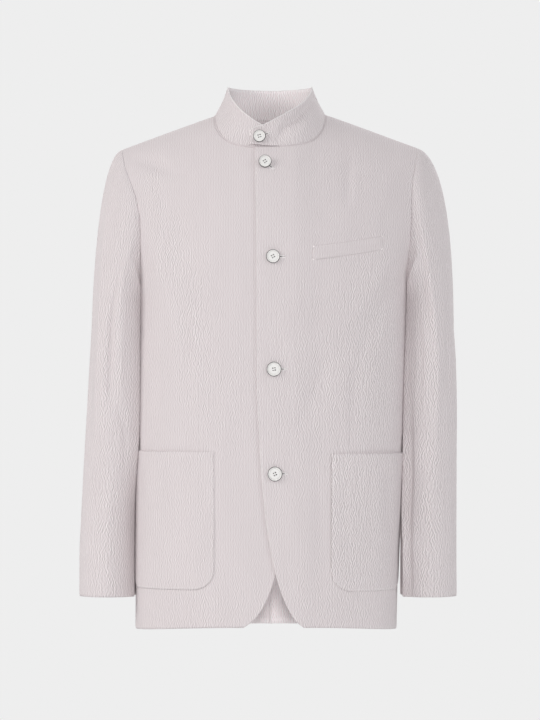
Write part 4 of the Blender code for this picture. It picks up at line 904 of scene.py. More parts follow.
def shell(node, points, normals, grain, thickness, rise, fine, rough, band=0.0, band_rows=(), meet=None):
    """A node's cloth: a fine outer skin, a plainer inner one and a rim between them.

    Where it is sewn to a neighbour, meet moves its skin onto the neighbour's edge, for each point.
    """
    rows, columns = points.shape[:2]
    outer = points + normals * (rise + fine + thickness / 2)[..., None]
    if meet is not None:
        edge, share = meet
        outer = outer + (edge - outer[0]) * share[..., None]
    coarse = np.ix_(coarse_lines(rows, band_rows), coarse_lines(columns))
    inner = (points + normals * (rise - thickness / 2 - band)[..., None])[coarse]
    number = np.arange(rows * columns).reshape(rows, columns)
    inside = rows * columns + np.arange(inner[..., 0].size).reshape(inner.shape[:2])
    back = np.full((rows, columns), -1)
    back[coarse] = inside
    quads = np.stack([number[:-1, :-1], number[:-1, 1:], number[1:, 1:], number[1:, :-1]], -1).reshape(-1, 4)
    lining = np.stack([inside[:-1, :-1], inside[1:, :-1], inside[1:, 1:], inside[:-1, 1:]], -1).reshape(-1, 4)
    loop = [(0, c) for c in range(columns)]
    loop += [(r, columns - 1) for r in range(1, rows)]
    loop += [(rows - 1, c) for c in range(columns - 2, -1, -1)]
    loop += [(r, 0) for r in range(rows - 2, 0, -1)]
    loop.append(loop[0])
    faces = quads.tolist() + lining.tolist()
    start = 0
    for k in range(1, len(loop)):
        if back[loop[k]] >= 0:
            run = [int(number[place]) for place in loop[start : k + 1]]
            faces.append(run[::-1] + [int(back[loop[start]]), int(back[loop[k]])])
            start = k
    r, c = rows // 2, columns // 2
    turn = np.cross(points[r, c + 1] - points[r, c], points[r + 1, c] - points[r, c])
    if turn @ normals[r, c] < 0:
        faces = [face[::-1] for face in faces]
    verts = np.concatenate([outer.reshape(-1, 3), inner.reshape(-1, 3)])
    uv = np.concatenate([grain.reshape(-1, 2), grain[coarse].reshape(-1, 2)])
    rough = np.concatenate([rough.ravel(), rough[coarse].ravel()])
    piece = new_piece(f"{node}_cloth", verts, faces, CLOTH, uv, rough)
    # The inner skin takes a paler copy of the cloth: painted light standing in for the light inside
    piece.data.materials.append(COLLAR_INSIDE_LIT if node == "collar" else CLOTH_INSIDE_LIT)
    inside_of = np.zeros(len(faces), np.int32)
    inside_of[len(quads) : len(quads) + len(lining)] = 1
    piece.data.polygons.foreach_set("material_index", inside_of)
    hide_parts(node)
    shells[node], skins[node] = piece, outer


# Body panels

panels = {}
for side, side_name in SIDES:
    front_x, front_z = panel_places(side, FRONT)
    back_x, back_z = panel_places(side, BACK)
    front = body_surface(side, FRONT, front_x, front_z)
    back = body_surface(side, BACK, back_x, back_z)
    sewn = np.ones(len(front), bool)
    sewn[UNDERARM_ROW + 1 : TIP_ROW] = False
    joined = np.full((len(front), 3), np.nan)
    joined[sewn] = back[sewn, -2] - front[sewn, -2]
    front_normals = grid_normals(front, joined) * side
    back_normals = grid_normals(back, -joined) * -side
    # At the shoulder tip both panels and the sleeve share one corner
    tip = (TIP_ROW, -1)
    front_normals[tip] = back_normals[tip] = unit(front_normals[tip] + back_normals[tip])
    panels[f"front_{side_name}"] = (front, front_normals, body_grain(side, FRONT, front_x, front_z))
    panels[f"back_{side_name}"] = (back, back_normals, body_grain(side, BACK, back_x, back_z))


def under_patch(piece, points):
    """Where a pocket hides a front, 1, else 0."""
    hidden = np.zeros(points.shape[:-1])
    x, z = np.abs(points[..., 0]), points[..., 2]
    for pocket in POCKETS:
        if pocket.front == piece:
            beside = smooth(pocket.inner_x, pocket.inner_x + HIDE_EASE, x)
            below = smooth(pocket.top, pocket.top - HIDE_EASE, z)
            hidden += beside * below * smooth(pocket.bottom, pocket.bottom + HIDE_EASE_LOW, z)
    return hidden


def big_rise(piece, points):
    """Folds, creases and lap of a body panel."""
    rise = piece_rise(FOLDS, piece, points, FOLD_END, FOLD_POWER) + piece_rise(CREASES, piece, points)
    if piece == "front_left":
        rise = rise + lap_rise(points[..., 0])
    return rise


middles = {}
for number, (piece, (points, normals, grain)) in enumerate(panels.items()):
    rise = big_rise(piece, points)
    middles[piece] = points + normals * rise[..., None]
    from_side, from_centre = run_from(points, 1, -1), run_from(points, 1, 0)
    from_top, from_hem = run_from(points, 0, -1), run_from(points, 0, 0)
    rough = roughness_at(piece, points)
    fine = PUCKER_RISE * rough * pucker(grain, PUCKER_SEEDS["body"] + SEED_STEP * number)
    fine = fine * (1 - under_patch(piece, points))
    row_number = np.arange(len(points))
    armhole = (row_number >= UNDERARM_ROW) & (row_number < TIP_ROW)
    side_z = points[:, -1, 2]
    below_tip = smooth(side_z[TIP_ROW], side_z[TIP_ROW] - TIP_FADE, side_z)
    eased_in = gathers(from_side, run_from(points[:, -1:], 0, 0), GATHER_SEEDS["body"] + number)
    fine = fine + eased_in * (armhole * below_tip)[:, None]
    seam_share = np.where(armhole, ARMHOLE_SEAM[piece] * below_tip, 1.0)
    shoulder_share = SHOULDER_SEAM * smooth(TIP_ROW, TIP_ROW + SHOULDER_SEAM_ROWS, row_number)
    seam_share = np.where(row_number < TIP_ROW, seam_share, shoulder_share)
    fine = fine + dip(from_side) * seam_share[:, None] + dip(from_top) * NECK_SEAM[piece]
    fine = fine + (dip(from_centre) if piece.startswith("back") else edge_dip(from_centre))
    fine = fine + edge_dip(from_hem) + piece_rise(DARTS, piece, points)
    edge_row = int(np.searchsorted(from_hem[:, points.shape[1] // 2], HEM_BAND))
    band = turned_band(from_hem, HEM_BAND)
    shell(piece, points, normals, grain, WALL, rise, fine, rough, band, (edge_row - 1, edge_row))


# Sleeves


def body_side(side, y, z):
    """Half width of the body's side at a depth, below the shoulders."""
    middle = column(SECTIONS, "side_y", z)
    before, behind = column(SECTIONS, "front_depth", z), column(SECTIONS, "back_depth", z)
    depth = np.where(y < middle, before, behind)
    off = np.clip(np.abs(y - middle) / depth, 0.0, 1.0)
    return sided(SECTIONS, "half", side, z) * rounded(off)


def sleeve_ring(side, angle, z):
    """A sleeve section below the cap: outermost at angle 0, in front at a quarter turn."""
    outer, inner = sided(SLEEVES, "outer", side, z), sided(SLEEVES, "inner", side, z)
    middle, depth = column(SLEEVES, "middle_y", z), column(SLEEVES, "half_depth", z)
    across, along = np.cos(angle), np.sin(angle)
    square = np.where(across < 0, SLEEVE_BACK_SQUARE, SLEEVE_ROUND)
    swell = (np.abs(across) ** square + np.abs(along) ** square) ** (-1 / square)
    x = (outer + inner) / 2 + (outer - inner) / 2 * across * swell
    y = middle - depth * along * swell
    clear = SLEEVE_CLEAR + SLEEVE_POCKET_CLEAR * smooth(SLEEVE_POCKET_START, SLEEVE_POCKET_FULL, z)
    clear = clear + CLEAR_WIDTH[side] * smooth(CLEAR_START, CLEAR_FULL, z)
    beside = body_side(side, y, z) + clear
    x = (x + beside + np.hypot(x - beside, SLEEVE_EASE)) / 2
    # Front quarter next to the body: across to the line where it lies on the body, then back beside it
    line_x, line_angle = sided(TUCKS, "x", side, z), column(TUCKS, "angle", z)
    reach = np.clip((line_x - clear) / sided(SECTIONS, "half", side, z), 0.0, 1.0)
    line_y = column(SECTIONS, "side_y", z) - column(SECTIONS, "front_depth", z) * rounded(reach)
    part = np.clip((angle - math.pi / 2) / (line_angle - math.pi / 2), 0.0, 1.0)
    beyond = np.clip((angle - line_angle) / (math.pi - line_angle), 0.0, 1.0)
    tuck_y = middle - depth + (line_y - middle + depth) * part ** sided(TUCKS, "bend", side, z)
    tuck_y = np.where(beyond > 0, line_y + (middle - line_y) * beyond, tuck_y)
    tuck_x = (outer + inner) / 2 + (line_x - (outer + inner) / 2) * part
    tuck_x = np.where(beyond > 0, body_side(side, tuck_y, z) + clear, tuck_x)
    x, y = np.where(angle > math.pi / 2, tuck_x, x), np.where(angle > math.pi / 2, tuck_y, y)
    return np.stack([x * side, y, z * np.ones_like(angle)], axis=-1)


def cap_pull(side, angle):
    """Direction and strength with which the cap leaves the armhole, and how it lands."""
    weights = {
        "top": np.clip(np.cos(angle), 0, 1) ** 2,
        "front": np.clip(np.sin(angle), 0, 1) ** 2,
        "under": np.clip(-np.cos(angle), 0, 1) ** 2,
        "back": np.clip(-np.sin(angle), 0, 1) ** 2,
    }
    leave, reach, landing = 0.0, 0.0, 0.0
    for place, pull in CAP_PULLS.items():
        weight = weights[place]
        leave = leave + weight[..., None] * np.array([pull.out * side, pull.back, pull.up])
        reach = reach + weight * (pull.left_reach if side == LEFT else pull.right_reach)
        landing = landing + weight * pull.landing
    return unit(leave), reach, landing


def armhole_loop(side_name, angle):
    """Armhole seam at angles from the underarm up the back, over the tip and down the front."""
    up, down = slice(UNDERARM_ROW, TIP_ROW), slice(TIP_ROW, UNDERARM_ROW - 1, -1)
    back, front = f"back_{side_name}", f"front_{side_name}"
    points = np.concatenate([middles[back][up, -1], middles[front][down, -1]])
    normals = np.concatenate([panels[back][1][up, -1], panels[front][1][down, -1]])
    known = np.linspace(-math.pi, math.pi, 2 * PANEL_ROWS[1] + 1)
    edge = np.concatenate([skins[back][up, -1], skins[front][down, -1]])
    points, normals, edge = (read_along(angle, known, values) for values in (points, normals, edge))
    return points, unit(normals), edge


def sleeve_surface(side, angle, start, body_normal):
    """Middle surface of a whole sleeve: rows from the armhole to the cuff, columns by angle."""
    leave, reach, landing = cap_pull(side, angle)
    seam = unit(np.roll(start, -1, axis=0) - np.roll(start, 1, axis=0))
    across = np.cross(seam, leave)
    square = np.linalg.norm(across, axis=-1)
    crease = np.linalg.norm(np.cross(body_normal, unit(across)), axis=-1)
    spare = SEAM_GAP + WALL / 2 * np.clip(crease + CREASE_SPARE, 0, CREASE_MOST)
    start = start + leave * (spare / square)[:, None]
    top_z = SLEEVES[0].z
    end = sleeve_ring(side, angle, top_z)
    down = (sleeve_ring(side, angle, top_z - SMALL_STEP) - end) / SMALL_STEP
    rows = []
    for u in np.linspace(0, 1, CAP_ROWS + 1):
        rows.append(
            (2 * u**3 - 3 * u**2 + 1) * start
            + (u**3 - 2 * u**2 + u) * leave * reach[:, None]
            + (3 * u**2 - 2 * u**3) * end
            + (u**3 - u**2) * down * landing[:, None]
        )
    # The lower front of the cap folds over its seam and lies on the body at once
    for k, row in enumerate(rows):
        folded = smooth(0.0, CAP_FOLD, k / CAP_ROWS) * smooth(*CAP_FOLD_FROM, angle)
        folded = folded * smooth(*CAP_FOLD_TO, angle)
        rows[k] = row + (sleeve_ring(side, angle, row[:, 2]) - row) * folded[:, None]
    for z in np.linspace(top_z, SLEEVES[-1].z, ARM_ROWS + 1)[1:]:
        rows.append(sleeve_ring(side, angle, z))
    return np.stack(rows)


def arm_fold_rise(side, angle, points):
    """The solids' own sleeve folds."""
    rise = np.zeros(points.shape[:-1])
    for fold in ARM_FOLDS:
        if fold.side != side:
            continue
        part = np.clip((points[..., 2] - fold.z0) / (fold.z1 - fold.z0), -ARM_FOLD_PAST, 1 + ARM_FOLD_PAST)
        away = (angle - (fold.angle0 + (fold.angle1 - fold.angle0) * part)) / fold.width
        fade = np.cos(math.pi / (1 + 2 * ARM_FOLD_PAST) * (part - 0.5)) ** 2
        rise += fold.rise * fade * np.exp(-(away**2))
    return rise * smooth(0, CAP_ROWS * FOLD_EASE, np.arange(len(points)))[:, None]


def arm_crease_rise(side, angle, points):
    """Scene-only sleeve creases."""
    places = np.stack([np.broadcast_to(angle, points.shape[:-1]), points[..., 2] * ARM_STRETCH], -1)
    rows = [
        row._replace(path=[(turn, z * ARM_STRETCH) for turn, z in row.path])
        for row in ARM_CREASES if row.side == side]
    return crease_rise(rows, places)


# Length round a usual sleeve section, as a table by angle
ARM_HALF_WIDTH, ARM_HALF_DEPTH, ARM_POINTS = 0.037, 0.064, 720
ARM_TURN = np.linspace(0, 2 * math.pi, ARM_POINTS)
ARM_STEPS = np.hypot(np.diff(ARM_HALF_WIDTH * np.cos(ARM_TURN)), np.diff(ARM_HALF_DEPTH * np.sin(ARM_TURN)))
ARM_RUN = np.concatenate([[0], np.cumsum(ARM_STEPS)])


def arm_grain(side, angle, surface, from_cuff):
    """Place on the flat cloth of a sleeve: round the arm from its outermost line, and up from the cuff."""
    outermost = surface[:, AROUND // 2 - 1]
    z = surface[..., 2]
    outer = np.interp(z, outermost[::-1, 2], outermost[::-1, 0] * side)
    half = (sided(SLEEVES, "outer", side, z) - sided(SLEEVES, "inner", side, z)) / 2
    sideways = (surface[..., 0] * side - outer + half) / half
    forward = (column(SLEEVES, "middle_y", z) - surface[..., 1]) / column(SLEEVES, "half_depth", z)
    turn = np.arctan2(forward, sideways)
    turn = turn + 2 * math.pi * np.round((angle - turn) / (2 * math.pi))
    run = np.sign(turn) * np.interp(np.abs(turn), ARM_TURN, ARM_RUN)
    return np.stack([run, from_cuff], -1)


for number, (side, side_name) in enumerate(SIDES):
    angle = np.linspace(-math.pi, math.pi, AROUND + 1)[1:]
    start, start_normals, body_edge = armhole_loop(side_name, angle)
    surface = sleeve_surface(side, angle, start, start_normals)
    normals = grid_normals(surface, closed=True) * side
    eased = smooth(0, CAP_ROWS * CREASE_EASE, np.arange(len(surface)))[:, None]
    rise = arm_fold_rise(side, angle, surface) + arm_crease_rise(side, angle, surface) * eased
    from_cuff, from_cap = run_from(surface, 0, -1), run_from(surface, 0, 0)
    grain = arm_grain(side, angle, surface, from_cuff)
    rough = np.full(from_cap.shape, USUAL_ROUGH[f"top_sleeve_{side_name}"])
    fine = PUCKER_RISE * rough * pucker(grain, PUCKER_SEEDS["sleeve"] + SEED_STEP * number)
    fine = fine * smooth(0, PUCKER_EDGE, from_cap)
    below_tip = smooth(TIP_Z[side], TIP_Z[side] - TIP_FADE, surface[:1, :, 2])
    eased_in = gathers(from_cap, run_from(surface[:1], 1, 0), GATHER_SEEDS["sleeve"] + number)
    fine = fine + eased_in * below_tip
    seam_share = ARMHOLE_SEAM[f"front_{side_name}"] * below_tip
    fine = fine + dip(from_cap) * seam_share + edge_dip(from_cuff)
    band = turned_band(from_cuff, CUFF_BAND)
    band_row = int(len(surface) - 1 - np.searchsorted(from_cuff[::-1, 0], CUFF_BAND))
    back_seam = round(AROUND / 2 * (1 - BACK_SEAM_SHARE)) - 1
    front_seam = round(AROUND / 2 * (1 + FRONT_SEAM_SHARE)) - 1
    for piece, columns in (
        ("top_sleeve", np.arange(back_seam, front_seam + 1)),
        ("under_sleeve", np.arange(front_seam, AROUND + back_seam + 1) % AROUND),
    ):
        points = surface[:, columns]
        seams = dip(run_from(points, 1, 0)) + dip(run_from(points, 1, -1))
        part_grain = grain[:, columns].copy()
        part_grain[..., 0] += np.where(columns < columns[0], ARM_RUN[-1], 0)
        meet = (body_edge[columns], np.exp(-((from_cap[:, columns] / MEET_REACH) ** 2)))
        shell(
            f"{piece}_{side_name}", points, normals[:, columns], part_grain, WALL, rise[:, columns],
            fine[:, columns] + seams, rough[:, columns], band[:, columns], (band_row, band_row + 1), meet)


# Collar


def neckline():
    """Neckline from the right front round the back to the left front, evenly spaced, with its faces."""
    runs = []
    for piece, step in (("front_right", 1), ("back_right", -1), ("back_left", 1), ("front_left", -1)):
        face = FRONT if piece.startswith("front") else BACK
        lines = [grid[-1][::step] for grid in (middles[piece], panels[piece][1], skins[piece])]
        lines.append(np.full(len(lines[0]), face))
        runs.append([line[1:] if runs else line for line in lines])
    points, normals, edge, faces = (np.concatenate([run[k] for run in runs]) for k in range(4))
    along = run_length(points)
    even = np.linspace(0, along[-1], COLLAR_COLUMNS)
    points, normals, edge = (read_along(even, along, values) for values in (points, normals, edge))
    faces = faces[np.searchsorted(along, even).clip(0, len(faces) - 1)]
    beyond = np.repeat(points[-1:], TAB_COLUMNS, 0)
    beyond[:, 0] = np.linspace(points[-1, 0], COLLAR_OVER_END_X, TAB_COLUMNS + 1)[1:]
    points = np.concatenate([points, beyond])
    normals = unit(np.concatenate([normals, np.repeat(normals[-1:], TAB_COLUMNS, 0)]))
    edge = np.concatenate([edge, np.repeat(edge[-1:], TAB_COLUMNS, 0)])
    return points, normals, edge, np.concatenate([faces, np.full(TAB_COLUMNS, FRONT)])


def collar_top(points, faces):
    """The band's top edge above each point of the neckline."""
    across = np.clip(points[:, 0] / NECK_SIDE_X, -1, 1)
    forward = np.sqrt(1 - across**2)
    second_half = np.arange(len(points)) > len(points) / 2
    away = np.arccos(np.where(second_half, across, -across)) / (math.pi / 2)
    away = np.minimum(away, 1 + COLLAR_LAP_SLOPE * (away - 1))
    depth = np.where(faces == FRONT, -COLLAR_TOP_FRONT, COLLAR_TOP_BACK)
    low = np.where(faces == FRONT, COLLAR_TOP_FRONT_Z, COLLAR_TOP_BACK_Z)
    tab = smooth(0, COLLAR_OVER_END_X, points[:, 0]) * second_half
    skew = np.where(faces == FRONT, COLLAR_SKEW * forward**3 * (1 - TAB_UPRIGHT * tab), 0.0)
    x = np.sign(across) * np.abs(across) ** COLLAR_ROUND * COLLAR_TOP_HALF - skew
    y = COLLAR_TOP_SIDE_Y + depth * forward
    z = COLLAR_TOP_SIDE_Z + (low - COLLAR_TOP_SIDE_Z) * away
    return np.stack([x, y, z], axis=-1)


# Creases of the collar band, seen from the front: the soft fold from the tab up, and smaller ones
COLLAR_CREASES = (
    Crease("collar", -0.0052, 0.0045, 0.0060, (
        (0.011, -0.034), (0.0215, -0.0145), (0.037, -0.0045), (0.052, 0.0125), (0.063, 0.028))),
    Crease("collar", 0.0028, 0.0060, 0.0110, ((0.026, -0.036), (0.044, -0.026), (0.058, -0.006))),
    Crease("collar", -0.0008, 0.0050, 0.0040, ((-0.072, -0.002), (-0.056, 0.006), (-0.046, 0.024))),
    Crease("collar", 0.0006, 0.0050, 0.0050, ((-0.060, -0.022), (-0.044, -0.010), (-0.034, 0.002))),
)

neck, neck_normals, neck_edge, neck_faces = neckline()
in_front = neck_faces == FRONT
left_lap = in_front & (np.arange(len(neck)) > len(neck) / 2)
right_lap = in_front & ~left_lap
top = collar_top(neck, neck_faces)
corner = np.clip((TAB_CORNER + COLLAR_OVER_END_X - neck[:, 0]) / TAB_CORNER, 0, 1)
top[:, 2] -= np.where(left_lap, TAB_DROP * (1 - np.sqrt(1 - corner**2)), 0.0)
rising = unit(top - neck)
band_normals = unit(np.cross(np.gradient(neck, axis=0), rising))
neck_crease = np.linalg.norm(np.cross(neck_normals, band_normals), axis=-1)
tab_free = np.where(left_lap, smooth(TAB_FREE_X, COLLAR_OVER_END_X, neck[:, 0]), 0.0)
bottom = neck + rising * (SEAM_GAP + COLLAR_WALL / 2 * neck_crease + TAB_SLIT * tab_free)[:, None]
up = np.linspace(0, 1, COLLAR_ROWS + 1)[:, None]
points = bottom + (top - bottom) * up[..., None]
normals = -grid_normals(points)
points = points - normals * (COLLAR_HOLLOW * np.sin(math.pi * up))[..., None]
rise = np.where(left_lap, COLLAR_LAP_LIFT * smooth(LAP_START, LAP_FULL, neck[:, 0]), 0.0) * up
rise = rise + TAB_LIFT * tab_free * (1 - up) ** 2
rise = rise + crease_rise(COLLAR_CREASES, points[..., [0, 2]]) * in_front
from_seam = run_from(points, 0, 0)
grain = np.stack([run_from(points[:1], 1, 0) + 0 * up, from_seam], -1)
rough = np.full(points.shape[:-1], USUAL_ROUGH["collar"])
fine = PUCKER_RISE * rough * pucker(grain, PUCKER_SEEDS["collar"])
fine = fine + edge_dip(run_from(points, 0, -1)) + edge_dip(run_from(points, 1, -1))
neck_share = np.where(right_lap, NECK_SEAM["front_right"], NECK_SEAM["front_left"])
fine = fine + dip(from_seam, SEAM_DIP * COLLAR_SEAM, SEAM_WIDTH) * neck_share
sewn = np.where(left_lap, smooth(TAB_FREE_X - SEWN_EASE, TAB_FREE_X + SEWN_EASE, neck[:, 0]), 1.0)
sewn = np.where(right_lap, smooth(*RIGHT_SEWN, neck[:, 0]), sewn)
meet = (neck_edge, sewn * np.exp(-((from_seam / MEET_REACH) ** 2)))
collar_normals = normals
shell("collar", points, normals, grain, COLLAR_WALL, rise, fine, rough, meet=meet)


# Pockets and welt, laid on their front


def front_ends(side, z):
    """Where a front's columns begin and end at a height, from the centre out."""
    edge = side * sided(FRONT_EDGES, "front", side, z)
    outer = np.where(z > UNDERARM_Z, sided(ARMHOLES, "x", side, z), sided(SECTIONS, "half", side, z))
    return edge, outer


def share_at(side, x, z):
    """Share of the way across a front, in its own columns, of a place seen from the front."""
    edge, outer = front_ends(side, z)
    return 1 - (1 - (x - edge) / (outer - edge)) ** (1 / COLUMN_CROWD)


def on_front(side, piece, share, z):
    """Middle points, normals and flat places of a front, with its folds, creases and lap."""
    share, z = np.broadcast_arrays(share, z)
    edge, outer = front_ends(side, z)
    x = edge + (outer - edge) * (1 - (1 - share) ** COLUMN_CROWD)
    here = body_surface(side, FRONT, x, z)
    inward, step = np.minimum(x, outer - 2 * SMALL_STEP), SMALL_STEP
    in_x = body_surface(side, FRONT, inward + step, z) - body_surface(side, FRONT, inward - step, z)
    in_z = body_surface(side, FRONT, inward, z + step) - body_surface(side, FRONT, inward, z - step)
    normal = unit(np.cross(in_x, in_z)) * side
    return here + normal * big_rise(piece, here)[..., None], normal, body_grain(side, FRONT, x, z)


patch_edges = {}
for number, pocket in enumerate(POCKETS):
    mid = np.array((pocket.top + pocket.bottom) / 2)
    first, last = float(share_at(pocket.side, pocket.inner_x, mid)), pocket.outer_share
    probes = np.linspace(first, last, POCKET_PROBES)
    flat, _, _ = on_front(pocket.side, pocket.front, probes, np.full(POCKET_PROBES, mid))
    along = run_length(flat)
    even = np.linspace(0, 1, POCKET_COLUMNS + 1)
    even = POCKET_EVEN * even + (1 - POCKET_EVEN) * (1 - np.cos(math.pi * even)) / 2
    share = np.interp(even * along[-1], along, probes)
    near = np.minimum(even, 1 - even) * along[-1]
    cut = np.clip(1 - near / pocket.corner, 0, 1)
    floor = pocket.bottom + pocket.corner * (1 - np.sqrt(1 - cut**2))
    up = np.linspace(0, 1, POCKET_GRID_ROWS + 1)[:, None]
    z = floor + (pocket.top - floor) * up
    slide = share_at(pocket.side, pocket.inner_x, z) - first
    held = share + slide * (1 - smooth(first, first + POCKET_SLIDE, share))
    points, normals, grain = on_front(pocket.side, pocket.front, held, z)
    gape = pocket.gape * smooth(GAPE_START, 1.0, up) * np.sin(math.pi * even)
    gape = gape + pocket.corner_gape * smooth(*CORNER_GAPE_UP, up) * smooth(*CORNER_GAPE_OUT, even)
    from_bottom = run_from(points, 0, 0)
    from_sides = np.minimum(run_from(points, 1, 0), run_from(points, 1, -1))
    from_edge = np.minimum(from_sides, from_bottom)
    rough = np.full(points.shape[:-1], USUAL_ROUGH[pocket.node])
    fine = PATCH_PUCKER * rough * pucker(grain, PUCKER_SEEDS["pocket"] + SEED_STEP * number)
    edge_run = np.where(from_bottom < from_edge + 1e-6, grain[..., 0], grain[..., 1])
    eased_in = gathers(from_edge, edge_run, GATHER_SEEDS["pocket"] + number)
    fine = fine * smooth(0, PUCKER_EDGE, from_edge) + POCKET_GATHERS * eased_in
    fine = fine + dip(from_edge, *POCKET_DIP) + dip(np.abs(from_edge - STITCH_INSET), *STITCH_DIP)
    fine = fine + edge_dip(run_from(points, 0, -1))
    shell(pocket.node, points, normals, grain, PATCH_WALL, PATCH_LIFT + gape, fine, rough)
    patch_edges[pocket.node] = (skins[pocket.node], normals, from_edge)

first, last = (float(share_at(LEFT, *map(np.array, end))) for end in (WELT_INNER, WELT_OUTER))
part = np.linspace(0, 1, WELT_COLUMNS + 1)[None, :]
up = np.linspace(0, 1, WELT_ROWS + 1)[:, None]
z = WELT_INNER[1] + (WELT_OUTER[1] - WELT_INNER[1]) * part + WELT_HEIGHT * up
points, normals, grain = on_front(LEFT, "front_left", first + (last - first) * part, z)
ends = np.minimum(run_from(points, 1, 0), run_from(points, 1, -1))
rough = np.full(points.shape[:-1], USUAL_ROUGH["breast_welt"])
fine = PUCKER_RISE * rough * pucker(grain, PUCKER_SEEDS["welt"]) + dip(ends, *WELT_DIP)
fine = fine + dip(run_from(points, 0, 0), *WELT_DIP) + dip(run_from(points, 0, -1), *WELT_DIP)
welt_rise = np.full(points.shape[:-1], PATCH_LIFT)
shell("breast_welt", points, normals, grain, PATCH_WALL, welt_rise, fine, rough)


# Buttons and buttonholes


def spot(skin, normals, x, z, spread):
    """Point and normal of a skin at a place seen from the front."""
    away = np.hypot(skin[..., 0] - x, skin[..., 2] - z)
    weight = np.exp(-((away / spread) ** 2))[..., None]
    normal = unit((normals * weight).sum(axis=(0, 1)))
    middle = (skin * weight).sum(axis=(0, 1)) / weight.sum()
    slope = normal[[0, 2]] / normal[1]
    y = middle[1] - (x - middle[0]) * slope[0] - (z - middle[2]) * slope[1]
    return np.array([x, y, z]), normal


def over_skin(skin, normals, places, lift):
    """A path over a skin through places seen from the front, lifted off it, and its normals."""
    spots = [spot(skin, normals, x, z, SKIN_SPREAD) for x, z in places]
    lead = np.array([normal for _, normal in spots])
    return np.array([point for point, _ in spots]) + lead * lift, lead


def carrier(row):
    """The skin that a button is sewn through."""
    if row.node == "button_1":
        return skins["collar"][:, left_lap], collar_normals[:, left_lap]
    return skins["front_left"], panels["front_left"][1]


def tube(path, radius, sides, normals=None, flat=1.0):
    """Faces of a round or flattened tube along a path, closed at its ends."""
    path = np.asarray(path, float)
    along = unit(np.gradient(path, axis=0))
    lead = np.broadcast_to(np.array([0.0, 0.0, 1.0]) if normals is None else normals, path.shape)
    beside = unit(np.cross(along, lead))
    over = np.cross(beside, along)
    turn = np.linspace(0, 2 * math.pi, sides, endpoint=False)
    radius = np.broadcast_to(radius, len(path))[:, None, None]
    ring = np.cos(turn)[None, :, None] * beside[:, None]
    ring = ring + flat * np.sin(turn)[None, :, None] * over[:, None]
    verts = (path[:, None] + radius * ring).reshape(-1, 3)
    faces = []
    for r in range(len(path) - 1):
        for k in range(sides):
            n = (k + 1) % sides
            faces.append((r * sides + k, r * sides + n, (r + 1) * sides + n, (r + 1) * sides + k))
    faces.append(tuple(range(sides))[::-1])
    faces.append(tuple((len(path) - 1) * sides + k for k in range(sides)))
    return verts, faces


def joined_piece(name, parts, material):
    """One piece from many small meshes."""
    verts, faces, count = [], [], 0
    for part_verts, part_faces in parts:
        verts.append(part_verts)
        faces += [tuple(i + count for i in face) for face in part_faces]
        count += len(part_verts)
    return new_piece(name, np.concatenate(verts), faces, material)


def line_piece(name, finish, path, radius, sides, lead, flat=1.0):
    """One thin line of cloth or thread along a path."""
    return joined_piece(name, [tube(path, radius, sides, lead, flat)], PLAIN[finish])


def tapered(radius, end, count):
    """Radii of a line that thins out towards both ends."""
    return radius * np.sin(math.pi * np.linspace(end, 1 - end, count)) ** 0.5


def turned(bm, profile, sides):
    """A solid turned about Z from a profile of radius and height that starts and ends on it."""
    rings = []
    for radius, height in profile:
        if radius == 0:
            rings.append([bm.verts.new((0, 0, height))] * sides)
            continue
        angles = [2 * math.pi * k / sides for k in range(sides)]
        rings.append([bm.verts.new((radius * math.cos(a), radius * math.sin(a), height)) for a in angles])
    for low, high in zip(rings, rings[1:]):
        for k in range(sides):
            n = (k + 1) % sides
            bm.faces.new(list(dict.fromkeys([low[k], low[n], high[n], high[k]])))
    bmesh.ops.recalc_face_normals(bm, faces=bm.faces[:])


def hole_places(row):
    turn = [row.turn + math.pi / 4 + 2 * math.pi * k / HOLE_COUNT for k in range(HOLE_COUNT)]
    return [(HOLE_CIRCLE * math.cos(a), HOLE_CIRCLE * math.sin(a)) for a in turn]


def helper(name, fill):
    mesh = bpy.data.meshes.new(name)
    bm = bmesh.new()
    fill(bm)
    bm.to_mesh(mesh)
    bm.free()
    return add_object(name, mesh)


def button_mesh(row):
    """A turned button with a rounded rim, a dish and four holes through it."""
    r, rim = row.radius, BUTTON_RIM_WIDTH
    rim_rise, dish_rise = BUTTON_RIM - BUTTON_EDGE, BUTTON_DISH - BUTTON_EDGE
    crown = [
        (r - rim / 2 + rim / 2 * math.cos(a), BUTTON_EDGE + rim_rise * math.sin(a))
        for a in np.linspace(0, math.pi, CROWN_STEPS)]
    slope = [(r - rim - rim * DISH_SLOPE * t, BUTTON_EDGE + dish_rise * t) for t in (0.5, 1.0)]
    floor = BUTTON_DISH - DISH_DEEPER
    profile = [(0.0, 0.0)] + [(r * out, BUTTON_EDGE * up) for out, up in BUTTON_UNDER]
    profile += crown + slope + [(r * DISH_FLAT, floor), (0.0, floor)]
    body = helper("button_blank", lambda bm: turned(bm, profile, BUTTON_SIDES))

    def drills(bm):
        for x, y in hole_places(row):
            bmesh.ops.create_cone(
                bm, cap_ends=True, segments=HOLE_SIDES, radius1=HOLE_RADIUS, radius2=HOLE_RADIUS,
                depth=BUTTON_RIM * 3, matrix=Matrix.Translation((x, y, BUTTON_RIM / 2)))

    drill = helper("button_drill", drills)
    cut = body.modifiers.new("holes", "BOOLEAN")
    cut.object = drill
    cut.solver = "EXACT"
    bpy.context.view_layer.update()
    mesh = bpy.data.meshes.new_from_object(body.evaluated_get(bpy.context.evaluated_depsgraph_get()))
    for old in (body, drill):
        bpy.data.objects.remove(old, do_unlink=True)
    return mesh


